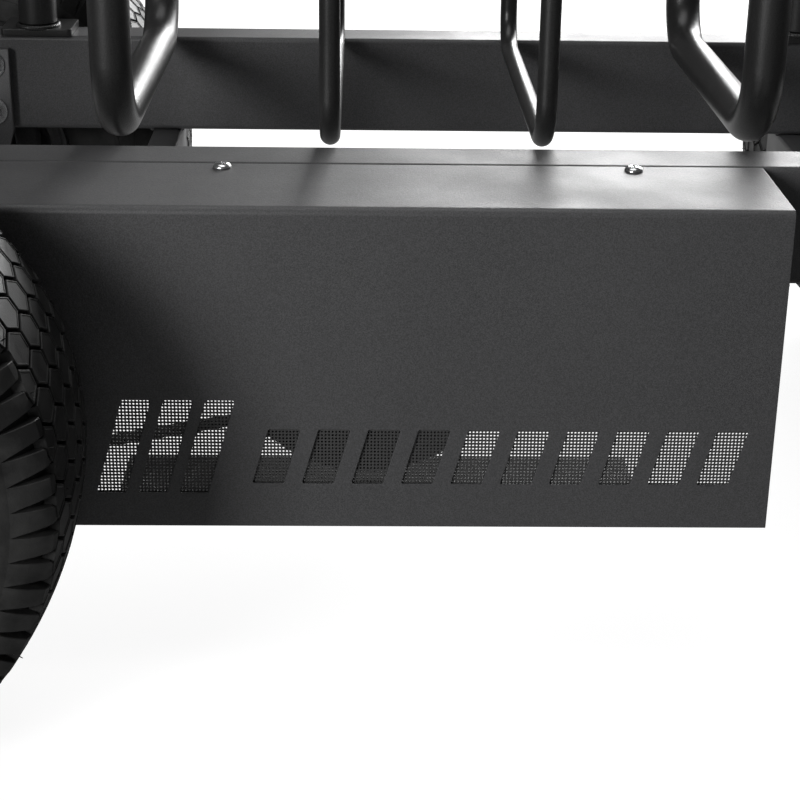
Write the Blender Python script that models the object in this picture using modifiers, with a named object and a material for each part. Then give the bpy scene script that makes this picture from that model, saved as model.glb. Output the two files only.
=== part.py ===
"""A wheeled weight sled: two steel rails on four turf tyres, a load rack, a push handle at each end, and a
belt driven magnetic brake behind a folded side cover. Metres, +Z up, X along the sled, the cover at -Y. The
origin is on the ground, midway between the axles and between the tyres."""

import math

import bmesh
import bpy
from mathutils import Matrix, Vector

MM = 0.001
GAP = 0.3 * MM  # clearance between pieces that seat on each other
RUNNING = 0.4 * MM  # radial clearance of a shaft in its bore
WELD = 0.01 * MM  # points this close are one
TUBE_SIDES = 10  # facets round a bent tube
THROUGH = 6  # how many thicknesses of its piece a cutter runs, to pass both faces

# Wheels and axles
TYRE_RADIUS = 190 * MM
TYRE_HALF_WIDTH = 72.5 * MM
TREAD_HALF_WIDTH = 60 * MM
TREAD_DEPTH = 7 * MM
CROWN_DROP = 1 * MM  # how far the section lies below the crown: halfway to the shoulder,
SHOULDER_DROP = 6 * MM  # at the shoulder,
UPPER_WALL_DROP = 22 * MM  # on the wall beside it
BULGE_DROP = 50 * MM  # and where the wall is widest
SHOULDER_OVERHANG = 8 * MM  # how far the upper wall stands out past the tread
TREAD_LUGS = 24
BEAD_RADIUS = 76.2 * MM
RIM_HALF_WIDTH = 60 * MM
RIM_FLANGE_HEIGHT = 10 * MM
RIM_FLANGE_WIDTH = 4 * MM
RIM_WEB = 6 * MM
RIM_WELL = 6 * MM  # how deep the well lies under the bead's seat
HUB_RADIUS = 27 * MM
HUB_HALF_LENGTH = 45 * MM
HALF_WHEELBASE = 455 * MM
WHEEL_CLEARANCE = 15 * MM  # between a tyre and the rail beside it
AXLE_RADIUS = 12.5 * MM
NUT_RADIUS = 20 * MM
NUT_THICKNESS = 11 * MM
AXLE_TIP = 3 * MM

# Frame
RAIL_TOP = 315 * MM
RAIL_HEIGHT = 80 * MM
RAIL_WIDTH = 45 * MM
RAIL_WALL = 3 * MM
RAIL_CORNER = 4 * MM
RAIL_HALF_LENGTH = 600 * MM
NEAR_RAIL_Y = -152.9 * MM
FAR_RAIL_Y = 254.5 * MM
CROSS_X = 272.6 * MM
CROSS_WIDTH = 25 * MM
CROSS_HEIGHT = 50 * MM
CROSS_WALL = 2 * MM
END_MEMBER_WIDTH = 40 * MM
PLATE = 8 * MM
PLATE_HALF_LENGTH = 52 * MM
PLATE_INSET = 10 * MM
BEARING_RADIUS = 26 * MM
BEARING_WIDTH = 12 * MM
LOBE = 36 * MM  # radius of a plate round its bore

# Side cover
COVER_SHEET = 2 * MM
COVER_DEPTH = 101 * MM
COVER_HEIGHT = 210 * MM
COVER_BEND = 5 * MM
COVER_LEFT = -542 * MM
COVER_RIGHT = 155.5 * MM
COVER_SEAM = 1 * MM
SCREW_PITCH = 263.3 * MM
SCREW_LAST = 70.1 * MM
SCREW_COUNT = 3
SCREW_INSET = 11 * MM
SCREW_HEAD_RADIUS = 6 * MM
SCREW_HEAD_HEIGHT = 3.3 * MM
SCREW_SHANK_RADIUS = 3 * MM
SCREW_SHANK = 9 * MM
SCREW_CROWN_RADIUS = 3.3 * MM
SCREW_CURVE_RADIUS = 5.4 * MM
SCREW_CURVE_HEIGHT = 1.8 * MM
TAB_LENGTH = 30 * MM
TAB_DEPTH = 20 * MM
TAB_SHEET = 3 * MM
AXLE_SLOT_RADIUS = 26 * MM

# Vents in the cover's face, and the mesh behind them
VENT_LEAN = math.radians(16)
VENT_FIRST = -172 * MM
VENT_BASE = 135 * MM
VENT_HEIGHT = 37 * MM
VENT_WIDTH = 20 * MM
VENT_PITCH = 31.2 * MM
VENT_COUNT = 10
TALL_VENT_FIRST = -270 * MM
TALL_VENT_BASE = 128 * MM
TALL_VENT_HEIGHT = 63 * MM
TALL_VENT_WIDTH = 18 * MM
TALL_VENT_PITCH = 26 * MM
TALL_VENT_COUNT = 3
MESH_SHEET = 1 * MM
MESH_MARGIN = 9 * MM

# Tray that closes the cover from below, under the flywheel and the brake
TRAY_LEFT = -262 * MM
TRAY_RIGHT = 78 * MM
TRAY_SHEET = 1.5 * MM
TRAY_RISE = 10 * MM
TRAY_ABOVE_EDGE = 1.5 * MM

# Belt drive and flywheel
BELT_Y = -245 * MM
BELT_WIDTH = 12 * MM
BELT_THICKNESS = 4 * MM
AXLE_PULLEY_RADIUS = 72 * MM
DRIVE_RATIO = 3.0
PULLEY_LIP = 3 * MM
PULLEY_CHEEK = 2 * MM
FLYWHEEL_X = -100 * MM
FLYWHEEL_Z = 208 * MM
FLYWHEEL_Y = -205 * MM
FLYWHEEL_RADIUS = 95 * MM
FLYWHEEL_THICKNESS = 10 * MM
FLYWHEEL_HUB_RADIUS = 22 * MM
FLYWHEEL_HUB = 2 * MM
FLYWHEEL_SHAFT_RADIUS = 8.5 * MM
BARREL_RADIUS = 26 * MM
BARREL_PAST_RAIL = 5 * MM

# Magnetic brake
BRAKE_X = 75 * MM
BRAKE_Z = 213 * MM
BRAKE_SHAFT_RADIUS = 8 * MM
MAGNET_GAP = 2 * MM
MAGNET_THICKNESS = 4 * MM
MAGNET_RADIUS = 12 * MM
YOKE_SHEET = 5 * MM
YOKE_HALF_HEIGHT = 20 * MM
YOKE_REACH = 30 * MM  # how far its cheeks pass the disc's rim
YOKE_CLEARANCE = 17 * MM
YOKE_BRIDGE = 12 * MM
YOKE_BOSS_RADIUS = 16 * MM
LEVER_Y = -108 * MM
LEVER_LENGTH = 112 * MM
LEVER_THICKNESS = 8 * MM
LEVER_HALF_WIDTH = 14 * MM
LEVER_TIP_RADIUS = 9.8 * MM
SHAFT_PAST_LEVER = 3 * MM
KNOB_BALL_RADIUS = 13 * MM
KNOB_BALL_LENGTH = 24 * MM
KNOB_BALL_END_RADIUS = 9.1 * MM
BUSH_HALF_LENGTH = 20 * MM

# Load rack
HOOP_RADIUS = 16 * MM
HOOP_TOP = 440 * MM
HOOP_REAR_X = -380 * MM
HOOP_FRONT_X = 270 * MM
HOOP_BEND = 60 * MM
NEAR_HOOP_Y = -143.4 * MM
FAR_HOOP_Y = 245 * MM
FOOT_LENGTH = 60 * MM
FOOT_SHEET = 6 * MM
THICK_BAR_RADIUS = 14 * MM
SLIM_BAR_RADIUS = 7 * MM
BAR_UNDERSIDE = 307 * MM
THICK_BAR_BEND = 45 * MM
SLIM_BAR_BEND = 30 * MM
REAR_BAR_X = -270.8 * MM
FRONT_BAR_X = 164.2 * MM
SLIM_BAR_1_X = -125.8 * MM
SLIM_BAR_2_X = 19.2 * MM

# Push handles and their sockets
POST_RADIUS = 21 * MM
SOCKET_CLEARANCE = 0.8 * MM
SOCKET_WALL = 3.2 * MM
SOCKET_HEIGHT = 120 * MM
SOCKET_INSET = 40 * MM  # from a rail's end
HANDLE_TOP = 980 * MM
HANDLE_BEND = 90 * MM
BRACE_RADIUS = 16 * MM
BRACE_BELOW_GRIP = 60 * MM
GRIP_LENGTH = 180 * MM
GRIP_BELOW_BEND = 30 * MM
GRIP_WALL = 4.5 * MM
GRIP_EDGE = 2 * MM
CLAMP_Z = 400 * MM
CLAMP_SCREW_RADIUS = 5 * MM
CLAMP_STANDOFF = 6 * MM
CLAMP_KNOB_RADIUS = 20 * MM
CLAMP_KNOB_THICKNESS = 18 * MM
CLAMP_KNOB_FACE_RADIUS = 16 * MM
CLAMP_KNOB_CHAMFER = 5.4 * MM

# Tow ring
LUG_REACH = 18 * MM
LUG_RADIUS = 13 * MM
LUG_THICKNESS = 8 * MM
LUG_Z = 275 * MM
RING_RADIUS = 24 * MM
RING_WIRE = 5 * MM
RING_CLEARANCE = 0.8 * MM

# Places that follow from the sizes above
RAIL_LOW = RAIL_TOP - RAIL_HEIGHT
NEAR_RAIL_OUTER = NEAR_RAIL_Y - RAIL_WIDTH / 2
NEAR_RAIL_INNER = NEAR_RAIL_Y + RAIL_WIDTH / 2
FAR_RAIL_INNER = FAR_RAIL_Y - RAIL_WIDTH / 2
FAR_RAIL_OUTER = FAR_RAIL_Y + RAIL_WIDTH / 2
FRAME_Y = (NEAR_RAIL_OUTER + FAR_RAIL_OUTER) / 2
COVER_FACE = NEAR_RAIL_OUTER - COVER_DEPTH
AXLE_Z = TYRE_RADIUS
HALF_TRACK = FAR_RAIL_OUTER + WHEEL_CLEARANCE + TYRE_HALF_WIDTH
AXLE_HALF_LENGTH = HALF_TRACK + HUB_HALF_LENGTH + GAP + NUT_THICKNESS + AXLE_TIP
SMALL_PULLEY_RADIUS = AXLE_PULLEY_RADIUS / DRIVE_RATIO
SCREW_PLACES = [SCREW_LAST - i * SCREW_PITCH for i in range(SCREW_COUNT)]
SCREW_Y = NEAR_RAIL_OUTER - SCREW_INSET
END_MEMBER_X = RAIL_HALF_LENGTH - END_MEMBER_WIDTH / 2
SOCKET_X = RAIL_HALF_LENGTH - SOCKET_INSET
GRIP_LOW = HANDLE_TOP - HANDLE_BEND - GRIP_BELOW_BEND - GRIP_LENGTH
BRACE_Z = GRIP_LOW - BRACE_BELOW_GRIP
NEAR_PLATE_Y = NEAR_RAIL_INNER + GAP + PLATE / 2
FAR_PLATE_Y = FAR_RAIL_INNER - GAP - PLATE / 2
TUBE_FLAT = math.cos(math.pi / TUBE_SIDES)  # half width over a bent tube's flats, per radius

for existing in list(bpy.data.objects):
    bpy.data.objects.remove(existing, do_unlink=True)

sled = bpy.data.collections.new("weight_sled")
cutters = bpy.data.collections.new("cutters")
bpy.context.scene.collection.children.link(sled)
bpy.context.scene.collection.children.link(cutters)


def material(name, colour, roughness, metallic):
    made = bpy.data.materials.new(name)
    made.use_nodes = True
    shader = made.node_tree.nodes["Principled BSDF"]
    shader.inputs["Base Color"].default_value = (*colour, 1)
    shader.inputs["Roughness"].default_value = roughness
    shader.inputs["Metallic"].default_value = metallic
    return made


powder_black = material("powder_black", (0.045, 0.045, 0.047), 0.5, 0.0)
tyre_rubber = material("tyre_rubber", (0.02, 0.02, 0.02), 0.7, 0.0)
rim_steel = material("rim_steel", (0.05, 0.05, 0.05), 0.4, 0.0)
zinc_steel = material("zinc_steel", (0.65, 0.65, 0.65), 0.3, 1.0)
brushed_steel = material("brushed_steel", (0.5, 0.5, 0.5), 0.35, 1.0)
belt_rubber = material("belt_rubber", (0.02, 0.02, 0.02), 0.6, 0.0)
grip_rubber = material("grip_rubber", (0.03, 0.03, 0.03), 0.8, 0.0)
knob_plastic = material("knob_plastic", (0.03, 0.03, 0.03), 0.45, 0.0)

# How a shape drawn along Z is turned to lie along another axis
TURNS = {
    "X": Matrix(((0, 0, 1, 0), (1, 0, 0, 0), (0, 1, 0, 0), (0, 0, 0, 1))),
    "-X": Matrix(((0, 0, -1, 0), (-1, 0, 0, 0), (0, 1, 0, 0), (0, 0, 0, 1))),
    "Y": Matrix(((1, 0, 0, 0), (0, 0, -1, 0), (0, 1, 0, 0), (0, 0, 0, 1))),
    "Z": Matrix.Identity(4),
}


def add(name, mesh, skin, location=(0, 0, 0), collection=sled):
    made = bpy.data.objects.new(name, mesh)
    made.location = location
    collection.objects.link(made)
    mesh.materials.clear()
    mesh.materials.append(skin or powder_black)
    mesh.shade_smooth()
    mesh.set_sharp_from_angle(angle=math.radians(35))
    return made


def mesh_of(name, build):
    """A mesh that the function build fills, with its faces turned out."""
    grid = bmesh.new()
    build(grid)
    bmesh.ops.recalc_face_normals(grid, faces=grid.faces)
    mesh = bpy.data.meshes.new(name)
    grid.to_mesh(mesh)
    grid.free()
    return mesh


def baked(source, skin, turn=None, location=(0, 0, 0)):
    """The source object as a mesh, with its seams welded and its points turned, moved to the location."""
    name, collection = source.name, source.users_collection[0]
    bpy.context.view_layer.update()
    evaluated = source.evaluated_get(bpy.context.evaluated_depsgraph_get())
    mesh = bpy.data.meshes.new_from_object(evaluated)

    def weld(grid):
        grid.from_mesh(mesh)
        bmesh.ops.remove_doubles(grid, verts=grid.verts, dist=WELD)
        bmesh.ops.transform(grid, matrix=turn or source.matrix_world, verts=grid.verts)

    welded = mesh_of(name, weld)
    bpy.data.objects.remove(source, do_unlink=True)
    return add(name, welded, skin, location, collection)


def block(name, low, high, skin=None, collection=sled):
    """A box between two corners."""
    low, high = Vector(low), Vector(high)

    def build(grid):
        bmesh.ops.create_cube(grid, size=1.0)
        bmesh.ops.scale(grid, vec=high - low, verts=grid.verts)

    return add(name, mesh_of(name, build), skin, (low + high) / 2, collection)


def rod(name, centre, axis, radius, length, skin=None, sides=20, collection=sled):
    """A round bar along an axis, about its centre."""

    def build(grid):
        bmesh.ops.create_cone(
            grid, cap_ends=True, segments=sides, radius1=radius, radius2=radius, depth=length
        )
        bmesh.ops.transform(grid, matrix=TURNS[axis], verts=grid.verts)

    return add(name, mesh_of(name, build), skin, centre, collection)


def turned(name, profile, axis, skin, steps=20, location=(0, 0, 0), collection=sled):
    """A closed profile of (radius, height) points, down its outer side first, turned about an axis."""
    count = len(profile)
    outline = bpy.data.meshes.new(name)
    outline.from_pydata([(r, 0, h) for r, h in profile], [(i, (i + 1) % count) for i in range(count)], [])
    made = bpy.data.objects.new(name, outline)
    collection.objects.link(made)
    screw = made.modifiers.new("turning", "SCREW")
    screw.steps = screw.render_steps = steps
    screw.use_merge_vertices = True
    screw.merge_threshold = WELD
    return baked(made, skin, TURNS[axis], location)


def extruded(name, loops, axis, length, centre, skin=None, collection=sled):
    """A flat outline, with any holes as further loops, drawn out along an axis about the centre.
    A loop's points are (y, z) for X, (x, z) for Y and (x, y) for Z, measured from the centre."""
    curve = bpy.data.curves.new(name, "CURVE")
    curve.dimensions = "2D"
    curve.fill_mode = "BOTH"
    curve.extrude = length / 2
    for loop in loops:
        outline = curve.splines.new("POLY")
        outline.points.add(len(loop) - 1)
        outline.use_cyclic_u = True
        for point, (u, v) in zip(outline.points, loop):
            point.co = (u, v, 0, 1)
    made = bpy.data.objects.new(name, curve)
    collection.objects.link(made)
    return baked(made, skin, TURNS[axis], centre)


def sheet(name, line, axis, length, thickness, centre, skin, closed=False):
    """A line drawn out along an axis into a thin sheet, thickened behind the side that its normals face."""

    def build(grid):
        start = [grid.verts.new((u, v, -length / 2)) for u, v in line]
        pairs = list(zip(start, start[1:] + start[:1]))
        edges = [grid.edges.new(pair) for pair in (pairs if closed else pairs[:-1])]
        swept = bmesh.ops.extrude_edge_only(grid, edges=edges)
        moved = [v for v in swept["geom"] if isinstance(v, bmesh.types.BMVert)]
        bmesh.ops.translate(grid, vec=(0, 0, length), verts=moved)
        bmesh.ops.transform(grid, matrix=TURNS[axis], verts=grid.verts)

    made = add(name, mesh_of(name, build), skin, centre)
    solid = made.modifiers.new("thickness", "SOLIDIFY")
    solid.thickness = thickness
    solid.offset = -1
    solid.use_even_offset = True
    return made


def tube(name, points, radius, skin=None, collection=sled):
    """A round tube along a path."""
    curve = bpy.data.curves.new(name, "CURVE")
    curve.dimensions = "3D"
    curve.bevel_depth = radius
    curve.bevel_resolution = (TUBE_SIDES - 4) // 2
    curve.use_fill_caps = True
    path = curve.splines.new("POLY")
    path.points.add(len(points) - 1)
    for point, place in zip(path.points, points):
        point.co = (*place, 1)
    made = bpy.data.objects.new(name, curve)
    collection.objects.link(made)
    return baked(made, skin)


def combine(target, others, operation):
    for other in others:
        step = target.modifiers.new(f"{operation.lower()} {other.name}", "BOOLEAN")
        step.operation = operation
        step.object = other
        other.hide_render = True
        other.display_type = "WIRE"


def cut(target, *others):
    combine(target, others, "DIFFERENCE")


def join(target, *others):
    combine(target, others, "UNION")


def circle(radius, sides=24, centre=(0, 0)):
    turns = [math.tau * i / sides for i in range(sides)]
    return [(centre[0] + radius * math.cos(a), centre[1] + radius * math.sin(a)) for a in turns]


def arc(centre, radius, start, end, steps):
    """Points on an arc between two angles in degrees."""
    turns = [math.radians(start + (end - start) * i / steps) for i in range(steps + 1)]
    return [(centre[0] + radius * math.cos(a), centre[1] + radius * math.sin(a)) for a in turns]


def rounded_rectangle(width, height, radius, steps=2):
    u, v = width / 2 - radius, height / 2 - radius
    return (
        arc((u, v), radius, 0, 90, steps)
        + arc((-u, v), radius, 90, 180, steps)
        + arc((-u, -v), radius, 180, 270, steps)
        + arc((u, -v), radius, 270, 360, steps)
    )


def box_tube(name, axis, width, height, wall, length, centre):
    """A welded rectangular tube with open ends."""
    inner = max(RAIL_CORNER - wall, 0.5 * MM)
    loops = [
        rounded_rectangle(width, height, RAIL_CORNER),
        rounded_rectangle(width - 2 * wall, height - 2 * wall, inner, 1),
    ]
    return extruded(name, loops, axis, length, centre)


def bent_path(corners, radius, steps=4):
    """The corners of a bent tube, each inner corner replaced by an arc of the bend radius."""
    path = [Vector(corners[0])]
    for before, corner, after in zip(corners, corners[1:], corners[2:]):
        corner = Vector(corner)
        arrive = (Vector(before) - corner).normalized()
        leave = (Vector(after) - corner).normalized()
        half = arrive.angle(leave) / 2
        centre = corner + (arrive + leave).normalized() * radius / math.sin(half)
        start = corner + arrive * radius / math.tan(half) - centre
        normal = arrive.cross(leave).normalized()
        for step in range(steps + 1):
            turn = Matrix.Rotation(-(math.pi - 2 * half) * step / steps, 3, normal)
            path.append(centre + turn @ start)
    path.append(Vector(corners[-1]))
    return path


# The two rails. The near one carries welded tabs for the cover's screws.
rail_z = RAIL_TOP - RAIL_HEIGHT / 2
for name, y in (("near_rail", NEAR_RAIL_Y), ("far_rail", FAR_RAIL_Y)):
    box_tube(name, "X", RAIL_WIDTH, RAIL_HEIGHT, RAIL_WALL, 2 * RAIL_HALF_LENGTH, (0, y, rail_z))
near_rail = bpy.data.objects["near_rail"]
tab_top = RAIL_TOP - COVER_SHEET - GAP
screw_hole = SCREW_SHANK_RADIUS + RUNNING
screw_holes = []
for number, x in enumerate(SCREW_PLACES, 1):
    tab = block(
        f"tab_{number}",
        (x - TAB_LENGTH / 2, NEAR_RAIL_OUTER - TAB_DEPTH, tab_top - TAB_SHEET),
        (x + TAB_LENGTH / 2, NEAR_RAIL_OUTER + RAIL_WALL / 2, tab_top),
        collection=cutters,
    )
    join(near_rail, tab)
    hole = rod(
        f"screw_hole_{number}",
        (x, SCREW_Y, tab_top),
        "Z",
        screw_hole,
        THROUGH * TAB_SHEET,
        sides=14,
        collection=cutters,
    )
    cut(near_rail, hole)
    screw_holes.append(hole)

# Cross members under the rails, and end members between them
cross_z = RAIL_LOW - GAP - CROSS_HEIGHT / 2
cross_length = FAR_RAIL_OUTER - NEAR_RAIL_OUTER
end_length = FAR_RAIL_INNER - NEAR_RAIL_INNER - 2 * GAP
for label, way in (("rear", -1), ("front", 1)):
    centre = (way * CROSS_X, FRAME_Y, cross_z)
    box_tube(f"{label}_crossmember", "Y", CROSS_WIDTH, CROSS_HEIGHT, CROSS_WALL, cross_length, centre)
    centre = (way * END_MEMBER_X, FRAME_Y, rail_z)
    box_tube(f"{label}_end_member", "Y", END_MEMBER_WIDTH, RAIL_HEIGHT, RAIL_WALL, end_length, centre)

# The side cover: a flange flush with the rail's top, a bend and a face, in one folded sheet
flange_edge = NEAR_RAIL_OUTER - COVER_SEAM
bend_centre = (COVER_FACE + COVER_BEND, RAIL_TOP - COVER_BEND)
cover_line = (
    [(flange_edge, RAIL_TOP)]
    + arc(bend_centre, COVER_BEND, 90, 180, 4)
    + [(COVER_FACE, RAIL_TOP - COVER_HEIGHT)]
)
cover_middle = (COVER_LEFT + COVER_RIGHT) / 2
cover = sheet(
    "side_cover",
    cover_line[::-1],
    "X",
    COVER_RIGHT - COVER_LEFT,
    COVER_SHEET,
    (cover_middle, 0, 0),
    powder_black,
)


def vents(label, first, base, width, height, pitch, count):
    """Leaning slots in a row, each cut right through the cover's face."""
    shift = height * math.tan(VENT_LEAN)
    outline = [(0, 0), (width, 0), (width + shift, height), (shift, height)]
    for number in range(count):
        place = (first + number * pitch, COVER_FACE, base)
        depth = THROUGH * COVER_SHEET
        cut(cover, extruded(f"{label}_{number}", [outline], "Y", depth, place, collection=cutters))
    return first + (count - 1) * pitch + width + shift


vent_right = vents("vent", VENT_FIRST, VENT_BASE, VENT_WIDTH, VENT_HEIGHT, VENT_PITCH, VENT_COUNT)
vents(
    "tall_vent",
    TALL_VENT_FIRST,
    TALL_VENT_BASE,
    TALL_VENT_WIDTH,
    TALL_VENT_HEIGHT,
    TALL_VENT_PITCH,
    TALL_VENT_COUNT,
)
# The rear axle's slot is open at the bottom, so that the cover drops over the axle
slot_depth = AXLE_Z - (RAIL_TOP - COVER_HEIGHT)
axle_slot = [(AXLE_SLOT_RADIUS, -2 * slot_depth)] + arc((0, 0), AXLE_SLOT_RADIUS, 0, 180, 8)
axle_slot.append((-AXLE_SLOT_RADIUS, -2 * slot_depth))
cut(
    cover,
    extruded(
        "axle_slot",
        [axle_slot],
        "Y",
        THROUGH * COVER_SHEET,
        (-HALF_WHEELBASE, COVER_FACE, AXLE_Z),
        collection=cutters,
    ),
    *screw_holes,
)

mesh_face = COVER_FACE + COVER_SHEET + GAP
block(
    "vent_mesh",
    (TALL_VENT_FIRST - MESH_MARGIN, mesh_face, TALL_VENT_BASE - MESH_MARGIN),
    (vent_right + MESH_MARGIN, mesh_face + MESH_SHEET, TALL_VENT_BASE + TALL_VENT_HEIGHT + MESH_MARGIN),
)

# The tray: a sheet with an upstand along its front that lies against the cover's face, under the mesh
tray_y = COVER_FACE + COVER_SHEET + GAP
tray_z = RAIL_TOP - COVER_HEIGHT + TRAY_ABOVE_EDGE
tray_line = [(tray_y, tray_z + TRAY_RISE), (tray_y, tray_z), (NEAR_RAIL_OUTER, tray_z)]
sheet(
    "drive_tray",
    tray_line,
    "X",
    TRAY_RIGHT - TRAY_LEFT,
    TRAY_SHEET,
    ((TRAY_LEFT + TRAY_RIGHT) / 2, 0, 0),
    powder_black,
)

screw_profile = [
    (0, SCREW_HEAD_HEIGHT),
    (SCREW_CROWN_RADIUS, SCREW_HEAD_HEIGHT),
    (SCREW_CURVE_RADIUS, SCREW_CURVE_HEIGHT),
    (SCREW_HEAD_RADIUS, 0),
    (SCREW_SHANK_RADIUS, 0),
    (SCREW_SHANK_RADIUS, -SCREW_SHANK),
    (0, -SCREW_SHANK),
]
for number, x in enumerate(SCREW_PLACES, 1):
    turned(f"cover_screw_{number}", screw_profile, "Z", zinc_steel, 14, (x, SCREW_Y, RAIL_TOP + GAP))

# Plates that hang from the rails' inner faces and carry the axles
bearing_seat = BEARING_RADIUS + GAP
axle_bore = AXLE_RADIUS + RUNNING


def hanging_plate(name, x, y, drop, bore):
    """A plate on a rail's face, wide at the top and rounded about its bore, which lies at the origin."""
    top = RAIL_TOP - PLATE_INSET - drop
    shoulder = RAIL_LOW - drop
    outline = [(PLATE_HALF_LENGTH, shoulder), (PLATE_HALF_LENGTH, top)]
    outline += [(-PLATE_HALF_LENGTH, top), (-PLATE_HALF_LENGTH, shoulder)]
    outline += arc((0, 0), LOBE, 190, 350, 8)
    return extruded(name, [outline, circle(bore)], "Y", PLATE, (x, y, drop), powder_black)


bearing_ring = [
    (BEARING_RADIUS, BEARING_WIDTH / 2),
    (BEARING_RADIUS, -BEARING_WIDTH / 2),
    (axle_bore, -BEARING_WIDTH / 2),
    (axle_bore, BEARING_WIDTH / 2),
]
for side, y in (("near", NEAR_PLATE_Y), ("far", FAR_PLATE_Y)):
    hanging_plate(f"rear_{side}_plate", -HALF_WHEELBASE, y, AXLE_Z, bearing_seat)
    turned(f"rear_{side}_bearing", bearing_ring, "Y", brushed_steel, 20, (-HALF_WHEELBASE, y, AXLE_Z))
    hanging_plate(f"front_{side}_plate", HALF_WHEELBASE, y, AXLE_Z, axle_bore)

# Axles with a nut at each end. The rear one turns, and the front one stands still.
for name, x in (("rear_axle", -HALF_WHEELBASE), ("front_axle", HALF_WHEELBASE)):
    axle = rod(name, (x, 0, AXLE_Z), "Y", AXLE_RADIUS, 2 * AXLE_HALF_LENGTH, brushed_steel)
    for side in (-1, 1):
        nut_y = side * (AXLE_HALF_LENGTH - AXLE_TIP - NUT_THICKNESS / 2)
        centre = (x, nut_y, AXLE_Z)
        nut = rod(f"{name}_nut_{side}", centre, "Y", NUT_RADIUS, NUT_THICKNESS, sides=6, collection=cutters)
        join(axle, nut)

# Tyres: a lofted ring with square shoulders cut into lugs and offset blocks across the crown
bead_y = RIM_HALF_WIDTH - GAP
bead_top = BEAD_RADIUS + RIM_FLANGE_HEIGHT
half_section = [
    (0, TYRE_RADIUS, "crown"),
    (TREAD_HALF_WIDTH / 2, TYRE_RADIUS - CROWN_DROP, "inner"),
    (TREAD_HALF_WIDTH, TYRE_RADIUS - SHOULDER_DROP, "shoulder"),
    (TREAD_HALF_WIDTH + SHOULDER_OVERHANG, TYRE_RADIUS - UPPER_WALL_DROP, "wall"),
    (TYRE_HALF_WIDTH, TYRE_RADIUS - BULGE_DROP, "wall"),
    (bead_y, bead_top, "wall"),
    (bead_y, BEAD_RADIUS, "wall"),
]
# The share of the tread's depth that is cut from even and from odd columns
LUG_CUT = {"crown": (0, 0.5), "inner": (0.5, 0), "shoulder": (0, 1), "wall": (0, 0)}


def tyre_loft(grid):
    section = [(-y, r, part) for y, r, part in half_section[:0:-1]] + half_section
    columns = 2 * TREAD_LUGS
    rings = []
    for y, radius, part in section:
        ring = []
        for column in range(columns):
            angle = math.tau * column / columns
            r = radius - LUG_CUT[part][(column + (y > 0)) % 2] * TREAD_DEPTH
            ring.append(grid.verts.new((r * math.cos(angle), y, r * math.sin(angle))))
        rings.append(ring)
    for ring, following in zip(rings, rings[1:] + rings[:1]):
        for i in range(columns):
            j = (i + 1) % columns
            grid.faces.new((ring[i], ring[j], following[j], following[i]))


tyre_mesh = mesh_of("tyre", tyre_loft)
bead_seat = BEAD_RADIUS - 2 * GAP
well = bead_seat - RIM_WELL
rim_half = [
    (bead_top, RIM_HALF_WIDTH + RIM_FLANGE_WIDTH),
    (bead_top, RIM_HALF_WIDTH),
    (bead_seat, RIM_HALF_WIDTH),
]
rim_inner_half = [
    (well, RIM_HALF_WIDTH + RIM_FLANGE_WIDTH),
    (well, RIM_WEB),
    (HUB_RADIUS, RIM_WEB),
    (HUB_RADIUS, HUB_HALF_LENGTH),
    (axle_bore, HUB_HALF_LENGTH),
]
rim_profile = rim_half + [(r, -h) for r, h in rim_half[::-1]]
rim_profile += [(r, -h) for r, h in rim_inner_half] + rim_inner_half[::-1]
for end, x in (("rear", -HALF_WHEELBASE), ("front", HALF_WHEELBASE)):
    for side, way in (("near", -1), ("far", 1)):
        centre = (x, way * HALF_TRACK, AXLE_Z)
        add(f"{end}_{side}_tyre", tyre_mesh.copy(), tyre_rubber, centre)
        turned(f"{end}_{side}_rim", rim_profile, "Y", rim_steel, 16, centre)

# Pulleys, the belt, and the flywheel on its shaft
belt_half = BELT_WIDTH / 2


def pulley(name, x, z, radius, bore):
    lip = belt_half + GAP
    side = lip + PULLEY_CHEEK
    rim = [(radius + PULLEY_LIP, side), (radius + PULLEY_LIP, lip), (radius, lip), (radius, -lip)]
    rim += [(radius + PULLEY_LIP, -lip), (radius + PULLEY_LIP, -side), (bore, -side), (bore, side)]
    turned(name, rim, "Y", brushed_steel, 20, (x, BELT_Y, z))


flywheel_bore = FLYWHEEL_SHAFT_RADIUS + RUNNING
pulley("axle_pulley", -HALF_WHEELBASE, AXLE_Z, AXLE_PULLEY_RADIUS, axle_bore)
pulley("flywheel_pulley", FLYWHEEL_X, FLYWHEEL_Z, SMALL_PULLEY_RADIUS, flywheel_bore)


def belt_path(offset, steps=12):
    """The loop round both pulleys, this far outside their rims."""
    span = Vector((FLYWHEEL_X + HALF_WHEELBASE, FLYWHEEL_Z - AXLE_Z))
    tilt = math.degrees(math.atan2(span.y, span.x))
    wrap = math.degrees(math.acos((AXLE_PULLEY_RADIUS - SMALL_PULLEY_RADIUS) / span.length))
    path = []
    for centre, radius, start, end in (
        ((-HALF_WHEELBASE, AXLE_Z), AXLE_PULLEY_RADIUS, tilt + wrap, tilt + 360 - wrap),
        ((FLYWHEEL_X, FLYWHEEL_Z), SMALL_PULLEY_RADIUS, tilt - wrap, tilt + wrap),
    ):
        reach = (radius + offset) / math.cos(math.radians((end - start) / steps / 2))
        path += arc(centre, reach, start, end, steps)
    return path


sheet(
    "drive_belt",
    belt_path(GAP + BELT_THICKNESS),
    "Y",
    BELT_WIDTH,
    BELT_THICKNESS,
    (0, BELT_Y, 0),
    belt_rubber,
    closed=True,
)

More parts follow.
